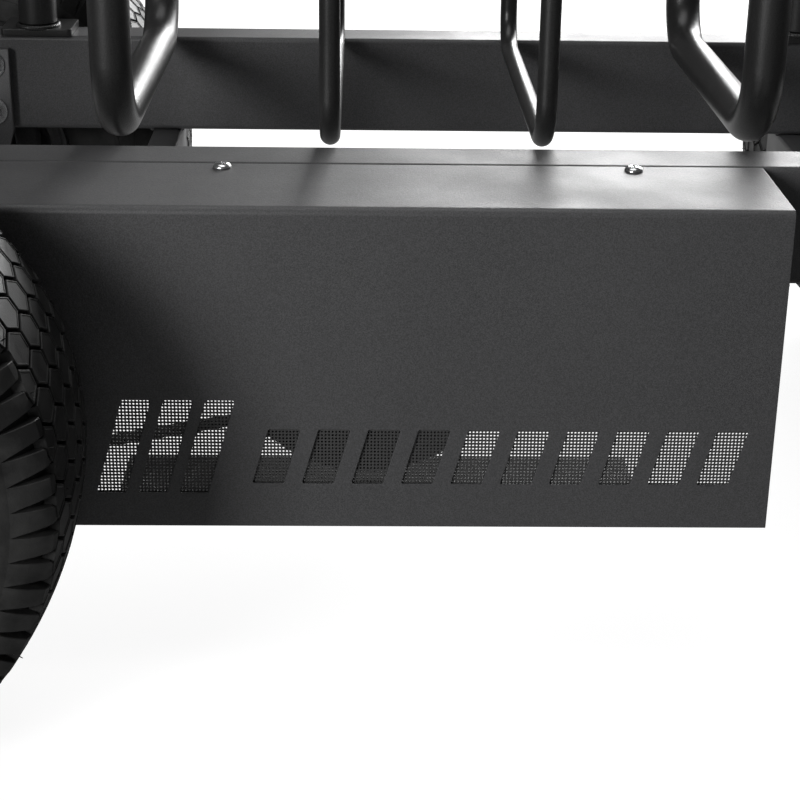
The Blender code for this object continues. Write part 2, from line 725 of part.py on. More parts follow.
disc_half = FLYWHEEL_THICKNESS / 2
hub_half = disc_half + FLYWHEEL_HUB
flywheel_profile = [
    (FLYWHEEL_HUB_RADIUS, hub_half),
    (FLYWHEEL_HUB_RADIUS, disc_half),
    (FLYWHEEL_RADIUS, disc_half),
    (FLYWHEEL_RADIUS, -disc_half),
    (FLYWHEEL_HUB_RADIUS, -disc_half),
    (FLYWHEEL_HUB_RADIUS, -hub_half),
    (flywheel_bore, -hub_half),
    (flywheel_bore, hub_half),
]
turned("flywheel", flywheel_profile, "Y", brushed_steel, 28, (FLYWHEEL_X, FLYWHEEL_Y, FLYWHEEL_Z))
shaft_near = BELT_Y - belt_half - 2 * PULLEY_CHEEK
barrel_end = NEAR_RAIL_INNER + BARREL_PAST_RAIL
shaft_far = barrel_end + BARREL_PAST_RAIL
rod(
    "flywheel_shaft",
    (FLYWHEEL_X, (shaft_near + shaft_far) / 2, FLYWHEEL_Z),
    "Y",
    FLYWHEEL_SHAFT_RADIUS,
    shaft_far - shaft_near,
    brushed_steel,
)

# The housing: a plate on the rail's outer face with a barrel that passes under the rail and carries the shaft
housing_y = NEAR_RAIL_OUTER - GAP - PLATE / 2
housing = hanging_plate("flywheel_housing", FLYWHEEL_X, housing_y, FLYWHEEL_Z, flywheel_bore)
barrel_start = housing_y - PLATE / 4
barrel = rod(
    "housing_barrel",
    (FLYWHEEL_X, (barrel_start + barrel_end) / 2, FLYWHEEL_Z),
    "Y",
    BARREL_RADIUS,
    barrel_end - barrel_start,
    collection=cutters,
)
join(housing, barrel)
shaft_hole = rod(
    "shaft_hole",
    (FLYWHEEL_X, NEAR_RAIL_Y, FLYWHEEL_Z),
    "Y",
    flywheel_bore,
    shaft_far - shaft_near,
    collection=cutters,
)
cut(housing, shaft_hole)

# The magnet yoke: a U that straddles the disc's rim, on an arm from the brake shaft
disc_rim = FLYWHEEL_X + FLYWHEEL_RADIUS
cheek_inner = disc_half + MAGNET_GAP + MAGNET_THICKNESS
cheek_outer = cheek_inner + YOKE_SHEET
tip_x = disc_rim - YOKE_REACH - BRAKE_X
gap_x = disc_rim + YOKE_CLEARANCE - BRAKE_X
back_x = gap_x + YOKE_BRIDGE
yoke_outline = [
    (tip_x, -cheek_outer),
    (back_x, -cheek_outer),
    (back_x, cheek_outer),
    (tip_x, cheek_outer),
    (tip_x, cheek_inner),
    (gap_x, cheek_inner),
    (gap_x, -cheek_inner),
    (tip_x, -cheek_inner),
]
yoke_place = (BRAKE_X, FLYWHEEL_Y, BRAKE_Z)
yoke = extruded("magnet_yoke", [yoke_outline], "Z", 2 * YOKE_HALF_HEIGHT, yoke_place, brushed_steel)
boss_half = cheek_outer / 2
boss_y = FLYWHEEL_Y + cheek_outer - boss_half
arm = block(
    "yoke_arm",
    (BRAKE_X + back_x - YOKE_BRIDGE / 2, boss_y - boss_half / 2, BRAKE_Z - YOKE_BOSS_RADIUS / 2),
    (BRAKE_X, boss_y + boss_half / 2, BRAKE_Z + YOKE_BOSS_RADIUS / 2),
    collection=cutters,
)
boss = rod(
    "yoke_boss",
    (BRAKE_X, boss_y, BRAKE_Z),
    "Y",
    YOKE_BOSS_RADIUS,
    2 * boss_half,
    sides=20,
    collection=cutters,
)
join(yoke, arm, boss)
magnet_x = BRAKE_X + tip_x + MAGNET_RADIUS + MAGNET_GAP
for side in (-1, 1):
    magnet_y = FLYWHEEL_Y + side * (cheek_inner - MAGNET_THICKNESS / 2 + GAP)
    centre = (magnet_x, magnet_y, BRAKE_Z)
    magnet = rod(
        f"magnet_{side}",
        centre,
        "Y",
        MAGNET_RADIUS,
        MAGNET_THICKNESS + 2 * GAP,
        sides=16,
        collection=cutters,
    )
    join(yoke, magnet)
brake_bore = BRAKE_SHAFT_RADIUS + RUNNING
brake_hole = rod(
    "brake_hole",
    (BRAKE_X, NEAR_RAIL_Y, BRAKE_Z),
    "Y",
    brake_bore,
    THROUGH * RAIL_WIDTH,
    collection=cutters,
)
cut(yoke, brake_hole)

# The brake shaft under the rail, in a bush block, with its lever and knob inside the frame
brake_near = boss_y - boss_half - GAP
brake_far = LEVER_Y + LEVER_THICKNESS / 2 + SHAFT_PAST_LEVER
rod(
    "brake_shaft",
    (BRAKE_X, (brake_near + brake_far) / 2, BRAKE_Z),
    "Y",
    BRAKE_SHAFT_RADIUS,
    brake_far - brake_near,
    brushed_steel,
    20,
)
bush = block(
    "brake_bush",
    (BRAKE_X - BUSH_HALF_LENGTH, NEAR_RAIL_OUTER, BRAKE_Z - BUSH_HALF_LENGTH),
    (BRAKE_X + BUSH_HALF_LENGTH, NEAR_RAIL_INNER, RAIL_LOW - GAP),
)
cut(bush, brake_hole)
lever_outline = arc((0, 0), LEVER_HALF_WIDTH, 90, 270, 8)
lever_outline += arc((LEVER_LENGTH, 0), LEVER_TIP_RADIUS, -90, 90, 8)
extruded(
    "brake_lever",
    [lever_outline, circle(brake_bore, 24)],
    "Y",
    LEVER_THICKNESS,
    (BRAKE_X, LEVER_Y, BRAKE_Z),
    powder_black,
)
knob_start = LEVER_Y + LEVER_THICKNESS / 2 + GAP
ball_profile = [
    (0, KNOB_BALL_LENGTH / 2),
    (KNOB_BALL_END_RADIUS, KNOB_BALL_LENGTH / 2),
    (KNOB_BALL_RADIUS, KNOB_BALL_LENGTH / 4),
    (KNOB_BALL_RADIUS, -KNOB_BALL_LENGTH / 4),
    (KNOB_BALL_END_RADIUS, -KNOB_BALL_LENGTH / 2),
    (0, -KNOB_BALL_LENGTH / 2),
]
knob_centre = (BRAKE_X + LEVER_LENGTH, knob_start + KNOB_BALL_LENGTH / 2, BRAKE_Z)
turned("lever_knob", ball_profile, "Y", knob_plastic, 16, knob_centre)

# The load rack: a hoop on each rail, and four bars that hang between them
foot_low = RAIL_TOP + GAP
for side, hoop_y, rail_y in (("near", NEAR_HOOP_Y, NEAR_RAIL_Y), ("far", FAR_HOOP_Y, FAR_RAIL_Y)):
    foot_z = foot_low + FOOT_SHEET / 2
    corners = [
        (HOOP_REAR_X, hoop_y, foot_z),
        (HOOP_REAR_X, hoop_y, HOOP_TOP),
        (HOOP_FRONT_X, hoop_y, HOOP_TOP),
        (HOOP_FRONT_X, hoop_y, foot_z),
    ]
    hoop = tube(f"{side}_rack_hoop", bent_path(corners, HOOP_BEND), HOOP_RADIUS)
    near_edge = min(rail_y - RAIL_WIDTH / 2, hoop_y - HOOP_RADIUS)
    far_edge = max(rail_y + RAIL_WIDTH / 2, hoop_y + HOOP_RADIUS)
    for number, x in enumerate((HOOP_REAR_X, HOOP_FRONT_X)):
        foot = block(
            f"{side}_foot_{number}",
            (x - FOOT_LENGTH / 2, near_edge, foot_low),
            (x + FOOT_LENGTH / 2, far_edge, foot_low + FOOT_SHEET),
            collection=cutters,
        )
        join(hoop, foot)

for name, x, radius, bend in (
    ("rack_end_bar_rear", REAR_BAR_X, THICK_BAR_RADIUS, THICK_BAR_BEND),
    ("rack_bar_1", SLIM_BAR_1_X, SLIM_BAR_RADIUS, SLIM_BAR_BEND),
    ("rack_bar_2", SLIM_BAR_2_X, SLIM_BAR_RADIUS, SLIM_BAR_BEND),
    ("rack_end_bar_front", FRONT_BAR_X, THICK_BAR_RADIUS, THICK_BAR_BEND),
):
    inset = (HOOP_RADIUS + radius) * TUBE_FLAT + GAP
    run_z = BAR_UNDERSIDE + radius
    corners = [
        (x, NEAR_HOOP_Y + inset, HOOP_TOP + HOOP_RADIUS),
        (x, NEAR_HOOP_Y + inset, run_z),
        (x, FAR_HOOP_Y - inset, run_z),
        (x, FAR_HOOP_Y - inset, HOOP_TOP + HOOP_RADIUS),
    ]
    tube(name, bent_path(corners, bend), radius)

# Push handles: a bent frame with a brace, two grips, two sockets on the rails and their clamp knobs
socket_inner = POST_RADIUS + SOCKET_CLEARANCE
socket_outer = socket_inner + SOCKET_WALL
grip_outer = POST_RADIUS + RUNNING + GRIP_WALL
for end, way in (("rear", -1), ("front", 1)):
    x = way * SOCKET_X
    post_low = RAIL_TOP + GAP
    corners = [
        (x, NEAR_RAIL_Y, post_low),
        (x, NEAR_RAIL_Y, HANDLE_TOP),
        (x, FAR_RAIL_Y, HANDLE_TOP),
        (x, FAR_RAIL_Y, post_low),
    ]
    frame = tube(f"{end}_handle_frame", bent_path(corners, HANDLE_BEND), POST_RADIUS)
    brace = rod(
        f"{end}_brace",
        (x, (NEAR_RAIL_Y + FAR_RAIL_Y) / 2, BRACE_Z),
        "Y",
        BRACE_RADIUS,
        FAR_RAIL_Y - NEAR_RAIL_Y,
        sides=16,
        collection=cutters,
    )
    join(frame, brace)
    for side, y in (("near", NEAR_RAIL_Y), ("far", FAR_RAIL_Y)):
        sleeve = [
            (grip_outer - GRIP_EDGE, GRIP_LENGTH),
            (grip_outer, GRIP_LENGTH - GRIP_EDGE),
            (grip_outer, GRIP_EDGE),
            (grip_outer - GRIP_EDGE, 0),
            (POST_RADIUS + RUNNING, 0),
            (POST_RADIUS + RUNNING, GRIP_LENGTH),
        ]
        turned(f"{end}_{side}_grip", sleeve, "Z", grip_rubber, 20, (x, y, GRIP_LOW))
        ring = [
            (socket_outer, SOCKET_HEIGHT),
            (socket_outer, 0),
            (socket_inner, 0),
            (socket_inner, SOCKET_HEIGHT),
        ]
        socket = turned(f"{end}_{side}_socket", ring, "Z", powder_black, 20, (x, y, post_low))
        hole = rod(
            f"{end}_{side}_clamp_hole",
            (x + way * socket_outer, y, CLAMP_Z),
            "X",
            CLAMP_SCREW_RADIUS + RUNNING,
            THROUGH * SOCKET_WALL,
            sides=12,
            collection=cutters,
        )
        cut(socket, hole)
        knob_low = socket_outer - POST_RADIUS + CLAMP_STANDOFF
        knob_profile = [
            (0, knob_low + CLAMP_KNOB_THICKNESS),
            (CLAMP_KNOB_FACE_RADIUS, knob_low + CLAMP_KNOB_THICKNESS),
            (CLAMP_KNOB_RADIUS, knob_low + CLAMP_KNOB_THICKNESS - CLAMP_KNOB_CHAMFER),
            (CLAMP_KNOB_RADIUS, knob_low),
            (CLAMP_SCREW_RADIUS, knob_low),
            (CLAMP_SCREW_RADIUS, GAP),
            (0, GAP),
        ]
        place = (x + way * POST_RADIUS, y, CLAMP_Z)
        turned(f"{end}_{side}_clamp_knob", knob_profile, "X" if way > 0 else "-X", knob_plastic, 16, place)

# The tow lug, welded to the front end member, and its ring
lug_x = RAIL_HALF_LENGTH + LUG_REACH
lug_root = -LUG_REACH - RAIL_WALL / 2
lug_outline = [(lug_root, LUG_RADIUS)] + [(lug_root, -LUG_RADIUS)] + arc((0, 0), LUG_RADIUS, -90, 90, 8)
ring_bore = circle(RING_WIRE + RING_CLEARANCE, 20)
lug = extruded(
    "tow_lug",
    [lug_outline, ring_bore],
    "Y",
    LUG_THICKNESS,
    (lug_x, FRAME_Y, LUG_Z),
    collection=cutters,
)
join(bpy.data.objects["front_end_member"], lug)
bpy.ops.mesh.primitive_torus_add(
    major_radius=RING_RADIUS,
    minor_radius=RING_WIRE,
    major_segments=20,
    minor_segments=8,
    location=(0, 0, 0),
    rotation=(0, math.pi / 2, 0),
)
torus = bpy.context.object
torus.name = "torus"
torus_mesh = bpy.data.meshes.new_from_object(torus)
torus_mesh.transform(Matrix.Translation((0, 0, -RING_RADIUS)) @ torus.matrix_world)
bpy.data.objects.remove(torus, do_unlink=True)
add("tow_ring", torus_mesh, zinc_steel, (lug_x, FRAME_Y, LUG_Z))
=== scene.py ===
"""A wheeled weight sled with a load rack, push handles and a belt driven brake behind a side cover."""

import math

import bmesh
import bpy
from mathutils import Matrix, Vector


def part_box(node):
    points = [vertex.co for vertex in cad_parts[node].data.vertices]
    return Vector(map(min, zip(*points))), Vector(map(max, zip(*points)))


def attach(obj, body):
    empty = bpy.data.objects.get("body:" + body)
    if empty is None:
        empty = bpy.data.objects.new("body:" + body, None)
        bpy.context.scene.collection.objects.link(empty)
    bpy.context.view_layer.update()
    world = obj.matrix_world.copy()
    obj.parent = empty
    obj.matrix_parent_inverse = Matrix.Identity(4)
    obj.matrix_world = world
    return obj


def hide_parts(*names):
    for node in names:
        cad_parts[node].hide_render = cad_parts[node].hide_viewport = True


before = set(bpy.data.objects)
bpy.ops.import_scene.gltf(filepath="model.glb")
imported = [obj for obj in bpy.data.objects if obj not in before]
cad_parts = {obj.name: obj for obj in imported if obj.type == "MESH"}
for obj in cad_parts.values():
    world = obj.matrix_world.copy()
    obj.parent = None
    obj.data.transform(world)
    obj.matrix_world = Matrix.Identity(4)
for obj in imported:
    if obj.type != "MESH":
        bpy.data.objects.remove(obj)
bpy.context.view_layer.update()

# The camera stands in front of the side cover and looks down on it, tilted, with a long lens. Its place was
# worked out from the cover's edges, so the pieces need no fitting to the picture.
TILT = math.radians(22.3548)
YAW = math.radians(1.4049)
ROLL = math.radians(0.8550)
EYE = (-0.1054, -1.3214, 0.6222)


def placed(name, data):
    """A new object in the scene that shows this data."""
    made = bpy.data.objects.new(name, data)
    bpy.context.scene.collection.objects.link(made)
    return made


ahead = Vector((math.sin(YAW) * math.cos(TILT), math.cos(YAW) * math.cos(TILT), -math.sin(TILT)))
level = Vector((math.cos(YAW), -math.sin(YAW), 0))
upright = level.cross(ahead)
across = level * math.cos(ROLL) + upright * math.sin(ROLL)
over = upright * math.cos(ROLL) - level * math.sin(ROLL)
lens = bpy.data.cameras.new("camera")
lens.lens = 82.146
lens.sensor_width = 36
lens.clip_start = 0.05
camera = placed("camera", lens)
turned_to = Matrix((across, over, -ahead)).transposed().to_4x4()
camera.matrix_world = Matrix.Translation(EYE) @ turned_to
bpy.context.scene.camera = camera

# The studio: a white floor that keeps a soft shadow, white all round, a broad light overhead and a long one
# behind on the right, which lays the sheen on the rail and on the cover's flange.
MM = 0.001
WHITE = (1, 1, 1, 1)
FLOOR_RADIUS = 14


def wire(tree, kind, sockets=(), **settings):
    """A shader node with its settings, its sockets set to values or fed by other nodes' outputs."""
    made = tree.nodes.new("ShaderNode" + kind)
    for key, value in settings.items():
        setattr(made, key, value)
    for key, value in dict(sockets).items():
        if isinstance(value, bpy.types.NodeSocket):
            tree.links.new(value, made.inputs[key])
        else:
            made.inputs[key].default_value = value
    return made


def by_ray(tree, unseen, seen):
    """One shader where the camera looks straight at it, another for all light that bounces."""
    straight = wire(tree, "LightPath").outputs["Is Camera Ray"]
    return wire(tree, "MixShader", {0: straight, 1: unseen.outputs[0], 2: seen.outputs[0]}).outputs[0]


world = bpy.data.worlds.new("studio")
bpy.context.scene.world = world
world.use_nodes = True
sky = world.node_tree
sky.nodes.clear()
room = wire(sky, "Background", {"Color": WHITE, "Strength": 0.08})
white = wire(sky, "Background", {"Color": WHITE, "Strength": 1.0})
wire(sky, "OutputWorld", {"Surface": by_ray(sky, room, white)})

paper = bpy.data.materials.new("paper")
paper.use_nodes = True
sheet = paper.node_tree
sheet.nodes.clear()
lit = wire(sheet, "BsdfDiffuse", {"Color": (0.4, 0.4, 0.4, 1)})
pale = wire(sheet, "BsdfDiffuse", {"Color": (0.24, 0.24, 0.24, 1)})
glow = wire(sheet, "Emission", {"Color": WHITE, "Strength": 0.89})
bright = wire(sheet, "AddShader", {0: pale.outputs[0], 1: glow.outputs[0]})
wire(sheet, "OutputMaterial", {"Surface": by_ray(sheet, lit, bright)})
grid = bmesh.new()
bmesh.ops.create_circle(grid, cap_ends=True, segments=64, radius=FLOOR_RADIUS)
paper_mesh = bpy.data.meshes.new("floor")
grid.to_mesh(paper_mesh)
grid.free()
paper_mesh.materials.append(paper)
floor = placed("floor", paper_mesh)
floor.location.z = -0.5 * MM


def softbox(name, place, target, width, height, power):
    panel = bpy.data.lights.new(name, "AREA")
    panel.shape = "RECTANGLE"
    panel.size = width
    panel.size_y = height
    panel.energy = power
    lamp = placed(name, panel)
    lamp.location = place
    lamp.rotation_euler = (Vector(target) - Vector(place)).to_track_quat("-Z", "Y").to_euler()


softbox("overhead", (-0.2, -0.1, 2.6), (0, 0, 0.3), 2.0, 1.4, 23)
softbox("behind_right", (1.15, 2.3, 1.25), (0.3, -0.1, 0.3), 2.3, 1.1, 118)
softbox("front_left", (-1.9, -2.8, 1.2), (-0.2, -0.2, 0.25), 0.9, 0.9, 95)
bpy.context.scene.view_settings.view_transform = "Standard"

# The two rails are welded rectangular steel tubes, powder coated black, with a plastic plug in each end. The
# near one carries three welded tabs that the side cover is screwed to.
RAIL_TOP, RAIL_HEIGHT, RAIL_WIDTH, RAIL_WALL = 315 * MM, 80 * MM, 45 * MM, 3 * MM
RAIL_CORNER = 4 * MM
RAIL_HALF_LENGTH = 600 * MM
NEAR_RAIL_Y, FAR_RAIL_Y = -152.9 * MM, 254.5 * MM
RAILS = {"near": (NEAR_RAIL_Y, 1), "far": (FAR_RAIL_Y, -1)}  # each one's place and its way inwards
NEAR_RAIL_OUTER = NEAR_RAIL_Y - RAIL_WIDTH / 2
SCREW_FIRST, SCREW_SPACING = 70.1 * MM, 263.3 * MM
TURNS = {
    "X": Matrix(((0, 0, 1), (1, 0, 0), (0, 1, 0))),
    "-X": Matrix(((0, 0, -1), (-1, 0, 0), (0, 1, 0))),
    "Y": Matrix(((1, 0, 0), (0, 0, -1), (0, 1, 0))),
    "-Y": Matrix(((1, 0, 0), (0, 0, 1), (0, -1, 0))),
    "Z": Matrix.Identity(3),
}


def effect(name, defaults):
    """A surface as a node group, with named inputs: (the group, what comes in, what goes out)."""
    tree = bpy.data.node_groups.new(name, "ShaderNodeTree")
    for socket, value in defaults.items():
        kind = "Float" if isinstance(value, float) else {3: "Vector", 4: "Color"}[len(value)]
        given = tree.interface.new_socket(socket, in_out="INPUT", socket_type="NodeSocket" + kind)
        given.default_value = value
    for socket, kind in (("Color", "Color"), ("Roughness", "Float"), ("Normal", "Vector")):
        tree.interface.new_socket(socket, in_out="OUTPUT", socket_type="NodeSocket" + kind)
    return tree, tree.nodes.new("NodeGroupInput").outputs, tree.nodes.new("NodeGroupOutput").inputs


def surfaced(tree, given, gives, tone, polish, height):
    """Colour from dark to light, gloss from satin to matt, each by a noise between two levels, and bumps."""
    share = wire(tree, "MapRange", {0: tone[0].outputs[0], 1: tone[1], 2: tone[2], 3: 0.0, 4: 1.0})
    shade = {"Factor": share.outputs[0], 6: given["Dark"], 7: given["Light"]}
    gloss = {0: polish[0].outputs[0], 1: polish[1], 2: polish[2], 3: given["Satin"], 4: given["Matt"]}
    bump = {"Strength": 1.0, "Distance": given["Relief"], "Height": height.outputs[0]}
    tree.links.new(wire(tree, "Mix", shade, data_type="RGBA").outputs[2], gives["Color"])
    tree.links.new(wire(tree, "MapRange", gloss).outputs[0], gives["Roughness"])
    tree.links.new(wire(tree, "Bump", bump).outputs[0], gives["Normal"])


def baked_grain():
    """Baked powder: fine pale flecks, a peel of small bumps, and broad patches that hands have polished."""
    defaults = {"Dark": (0.03, 0.03, 0.03, 1), "Light": (0.06, 0.06, 0.06, 1), "Grain": 1300.0}
    defaults.update({"Relief": 0.00008, "Satin": 0.42, "Matt": 0.58})
    tree, given, gives = effect("baked_grain", defaults)
    place, grain = wire(tree, "TexCoord").outputs["Object"], given["Grain"]
    fleck = wire(tree, "TexNoise", {"Vector": place, "Scale": grain, "Detail": 3.0, "Roughness": 0.6})
    polish = wire(tree, "TexNoise", {"Vector": place, "Scale": 11.0, "Detail": 4.0, "Roughness": 0.55})
    peel = wire(tree, "TexNoise", {"Vector": place, "Scale": 620.0, "Detail": 1.0})
    both = wire(tree, "Math", {0: peel.outputs[0], 1: fleck.outputs[0]}, operation="ADD")
    surfaced(tree, given, gives, (fleck, 0.36, 0.66), (polish, 0.35, 0.65), both)
    return tree


def finish(name, group, values, metallic=0.0, specular=0.5):
    """A material whose colour, roughness and normal come from an effect with these values."""
    made = bpy.data.materials.new(name)
    made.use_nodes = True
    tree = made.node_tree
    shader = tree.nodes["Principled BSDF"]
    skin = wire(tree, "Group", values, node_tree=group)
    for source, target in (("Color", "Base Color"), ("Roughness", "Roughness"), ("Normal", "Normal")):
        tree.links.new(skin.outputs[source], shader.inputs[target])
    shader.inputs["Metallic"].default_value = metallic
    shader.inputs["Specular IOR Level"].default_value = specular
    return made


powder_grain = baked_grain()
powder_black = finish(
    "powder_black",
    powder_grain,
    {"Dark": (0.027, 0.027, 0.028, 1), "Light": (0.058, 0.058, 0.060, 1), "Satin": 0.44, "Matt": 0.56},
)
plug_tones = {"Dark": (0.018, 0.018, 0.018, 1), "Light": (0.03, 0.03, 0.03, 1), "Grain": 2400.0}
plug_plastic = finish("plug_plastic", powder_grain, {**plug_tones, "Satin": 0.5, "Matt": 0.65}, specular=0.4)

def fit(name, mesh, body, slot, skin, *stands_for, sharp=38):
    """A piece of the sled: its finish, the body it rides on, and the CAD nodes that it stands for."""
    piece = placed(name, mesh)
    mesh.materials.clear()
    mesh.materials.append(skin)
    mesh.shade_smooth()
    mesh.set_sharp_from_angle(angle=math.radians(sharp))
    even = piece.modifiers.new("even shading", "WEIGHTED_NORMAL")
    even.keep_sharp = True
    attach(piece, body)
    if stands_for:
        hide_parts(*stands_for)
    return piece


def deburred(thing, width, angle):
    """A small round on the edges that are sharper than this angle in degrees."""
    rounding = thing.modifiers.new("deburred", "BEVEL")
    rounding.width = width
    rounding.segments = 2
    rounding.limit_method = "ANGLE"
    rounding.angle_limit = math.radians(angle)
    return rounding


def keep(skin, *nodes, edge=0.8 * MM):
    """CAD nodes whose shape is right: a finish, and edges broken as a deburred plate's are."""
    for node in nodes:
        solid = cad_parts[node]
        solid.data.materials.clear()
        solid.data.materials.append(skin)
        solid.data.shade_smooth()
        weld = solid.modifiers.new("one skin", "WELD")
        weld.merge_threshold = 0.02 * MM
        deburred(solid, edge, 40).harden_normals = True


def closed(name, build):
    """The mesh that the function build fills, with its faces turned out."""
    grid = bmesh.new()
    build(grid)
    bmesh.ops.recalc_face_normals(grid, faces=grid.faces)
    mesh = bpy.data.meshes.new(name)
    grid.to_mesh(mesh)
    grid.free()
    return mesh


def arc(centre, radius, start, end, steps):
    """Points on an arc between two angles in degrees."""
    turns = [math.radians(start + (end - start) * i / steps) for i in range(steps + 1)]
    return [(centre[0] + radius * math.cos(a), centre[1] + radius * math.sin(a)) for a in turns]


def rounded_rectangle(width, height, radius, steps=5):
    u, v = width / 2 - radius, height / 2 - radius
    return (
        arc((u, v), radius, 0, 90, steps)
        + arc((-u, v), radius, 90, 180, steps)
        + arc((-u, -v), radius, 180, 270, steps)
        + arc((u, -v), radius, 270, 360, steps)
    )


def settled(thing, *helpers):
    """The mesh of an object as its modifiers leave it. The object and its helpers go."""
    bpy.context.view_layer.update()
    mesh = bpy.data.meshes.new_from_object(thing.evaluated_get(bpy.context.evaluated_depsgraph_get()))
    for spent in (thing, *helpers):
        bpy.data.objects.remove(spent)
    return mesh


def cut_plate(name, loops, axis, thickness, centre, edge=0.0):
    """A flat outline with its holes, drawn out along an axis about the centre, its edges rounded."""
    curve = bpy.data.curves.new(name, "CURVE")
    curve.dimensions = "2D"
    curve.fill_mode = "BOTH"
    curve.extrude = thickness / 2 - edge
    curve.bevel_depth = edge
    curve.bevel_resolution = 1
    curve.offset = -edge
    for loop in loops:
        outline = curve.splines.new("POLY")
        outline.points.add(len(loop) - 1)
        outline.use_cyclic_u = True
        for point, (u, v) in zip(outline.points, loop):
            point.co = (u, v, 0, 1)
    flat = settled(placed(name, curve))

    def build(grid):
        grid.from_mesh(flat)
        bmesh.ops.remove_doubles(grid, verts=grid.verts, dist=0.01 * MM)
        bmesh.ops.rotate(grid, matrix=TURNS[axis], verts=grid.verts)
        bmesh.ops.translate(grid, vec=centre, verts=grid.verts)

    return closed(name, build)


def merged(name, meshes):
    """Several meshes as one piece."""

    def build(grid):
        for mesh in meshes:
            grid.from_mesh(mesh)

    return closed(name, build)


def brick(low, high, edge):
    """A box between two corners with its edges broken."""
    low, high = Vector(low), Vector(high)

    def build(grid):
        bmesh.ops.create_cube(grid, size=1.0)
        bmesh.ops.scale(grid, vec=high - low, verts=grid.verts)
        bmesh.ops.translate(grid, vec=(low + high) / 2, verts=grid.verts)
        bmesh.ops.bevel(grid, geom=grid.edges[:], offset=edge, segments=2, profile=0.5, affect="EDGES")

    return closed("brick", build)


def rail_tube(y):
    """One rail: a tube with rounded corners outside and in."""
    width, height = RAIL_WIDTH - 2 * RAIL_WALL, RAIL_HEIGHT - 2 * RAIL_WALL
    inside = rounded_rectangle(width, height, RAIL_CORNER - RAIL_WALL + 0.5 * MM, 2)
    loops = [rounded_rectangle(RAIL_WIDTH, RAIL_HEIGHT, RAIL_CORNER), inside]
    return cut_plate("tube", loops, "X", 2 * RAIL_HALF_LENGTH, (0, y, rail_z), 0.3 * MM)


def end_plugs(name, axis, width, height, wall, places):
    """A ribbed plastic plug in each end of a rectangular tube."""
    made = []
    for place, way in places:
        cap = rounded_rectangle(width - 0.6 * MM, height - 0.6 * MM, RAIL_CORNER - 0.3 * MM)
        out = TURNS[axis] @ Vector((0, 0, way))
        made.append(cut_plate("cap", [cap], axis, 2.4 * MM, Vector(place) + out * 1.2 * MM, 0.9 * MM))
        stem = rounded_rectangle(width - 2 * wall - 0.8 * MM, height - 2 * wall - 0.8 * MM, 1 * MM, 2)
        made.append(cut_plate("stem", [stem], axis, 12 * MM, Vector(place) - out * 5.8 * MM))
    fit(name, merged(name, made), "chassis", "knob_plastic", plug_plastic)


rail_z = RAIL_TOP - RAIL_HEIGHT / 2
SCREW_PLACES = [SCREW_FIRST - i * SCREW_SPACING for i in range(3)]
SCREW_Y = NEAR_RAIL_OUTER - 11 * MM
TAB_TOP = RAIL_TOP - 2.3 * MM
tabs = []
for x in SCREW_PLACES:
    low = (x - 15 * MM, NEAR_RAIL_OUTER - 20 * MM, TAB_TOP - 3 * MM)
    tabs.append(brick(low, (x + 15 * MM, NEAR_RAIL_OUTER + 1 * MM, TAB_TOP), 0.4 * MM))
for side, parts in (("near", [rail_tube(NEAR_RAIL_Y), *tabs]), ("far", [rail_tube(FAR_RAIL_Y)])):
    name = f"{side}_rail_tube"
    fit(name, merged(name, parts), "chassis", "powder_black", powder_black, f"{side}_rail")
rail_ends = [((way * RAIL_HALF_LENGTH, y, rail_z), way) for y in (NEAR_RAIL_Y, FAR_RAIL_Y) for way in (-1, 1)]
end_plugs("rail_end_plugs", "X", RAIL_WIDTH, RAIL_HEIGHT, RAIL_WALL, rail_ends)

# Two cross members lie under the rails and two end members between them: steel tube again, held by weld beads
# whose ripples show under the paint.
FRAME_Y = 50.8 * MM
CROSS_X, CROSS_WIDTH, CROSS_HEIGHT, CROSS_WALL = 272.6 * MM, 25 * MM, 50 * MM, 2 * MM
CROSS_LENGTH = 452.4 * MM
CROSS_Z = RAIL_TOP - RAIL_HEIGHT - CROSS_HEIGHT / 2 - 0.3 * MM
END_MEMBER_X = 580 * MM
BEAD_STEP = 0.8 * MM


def ring_of(grid, centre, side, other, radius, count):
    """Points on a circle that two directions span."""
    turns = [math.tau * k / count for k in range(count)]
    return [grid.verts.new(centre + (side * math.cos(a) + other * math.sin(a)) * radius) for a in turns]


def skinned(grid, rings, looped=False):
    """Faces between rings of points. The first and the last ring are capped or, looped, joined."""
    pairs = list(zip(rings, rings[1:]))
    if looped:
        pairs.append((rings[-1], rings[0]))
    else:
        grid.faces.new(rings[0])
        grid.faces.new(rings[-1])
    for ring, following in pairs:
        for k in range(len(ring)):
            j = (k + 1) % len(ring)
            grid.faces.new((ring[k], ring[j], following[j], following[k]))


def bead(points, radius, cyclic=True):
    """A weld bead along a line: a round cord that swells every 2.4 mm, as the welder's steps do."""
    line = [Vector(p) for p in points]
    if cyclic:
        line.append(line[0])
    fine = []
    for start, end in zip(line, line[1:]):
        count = max(1, round((end - start).length / BEAD_STEP))
        fine += [start.lerp(end, i / count) for i in range(count)]
    if not cyclic:
        fine.append(line[-1])

    def build(grid):
        rings = []
        last = len(fine) - 1
        for i, centre in enumerate(fine):
            before = fine[i - 1] if cyclic or i else centre
            after = fine[(i + 1) % len(fine)] if cyclic or i < last else centre
            along = (after - before).normalized()
            side = Vector((0, 0, 1)) if abs(along.z) < 0.9 else along.orthogonal().normalized()
            other = along.cross(side).normalized()
            swell = radius * (1 + 0.16 * math.sin(math.tau * i / 3))
            if not cyclic and i in (0, last):
                swell = 0.25 * radius
            rings.append(ring_of(grid, centre, side, other, swell, 8))
        skinned(grid, rings, cyclic)

    return closed("bead", build)


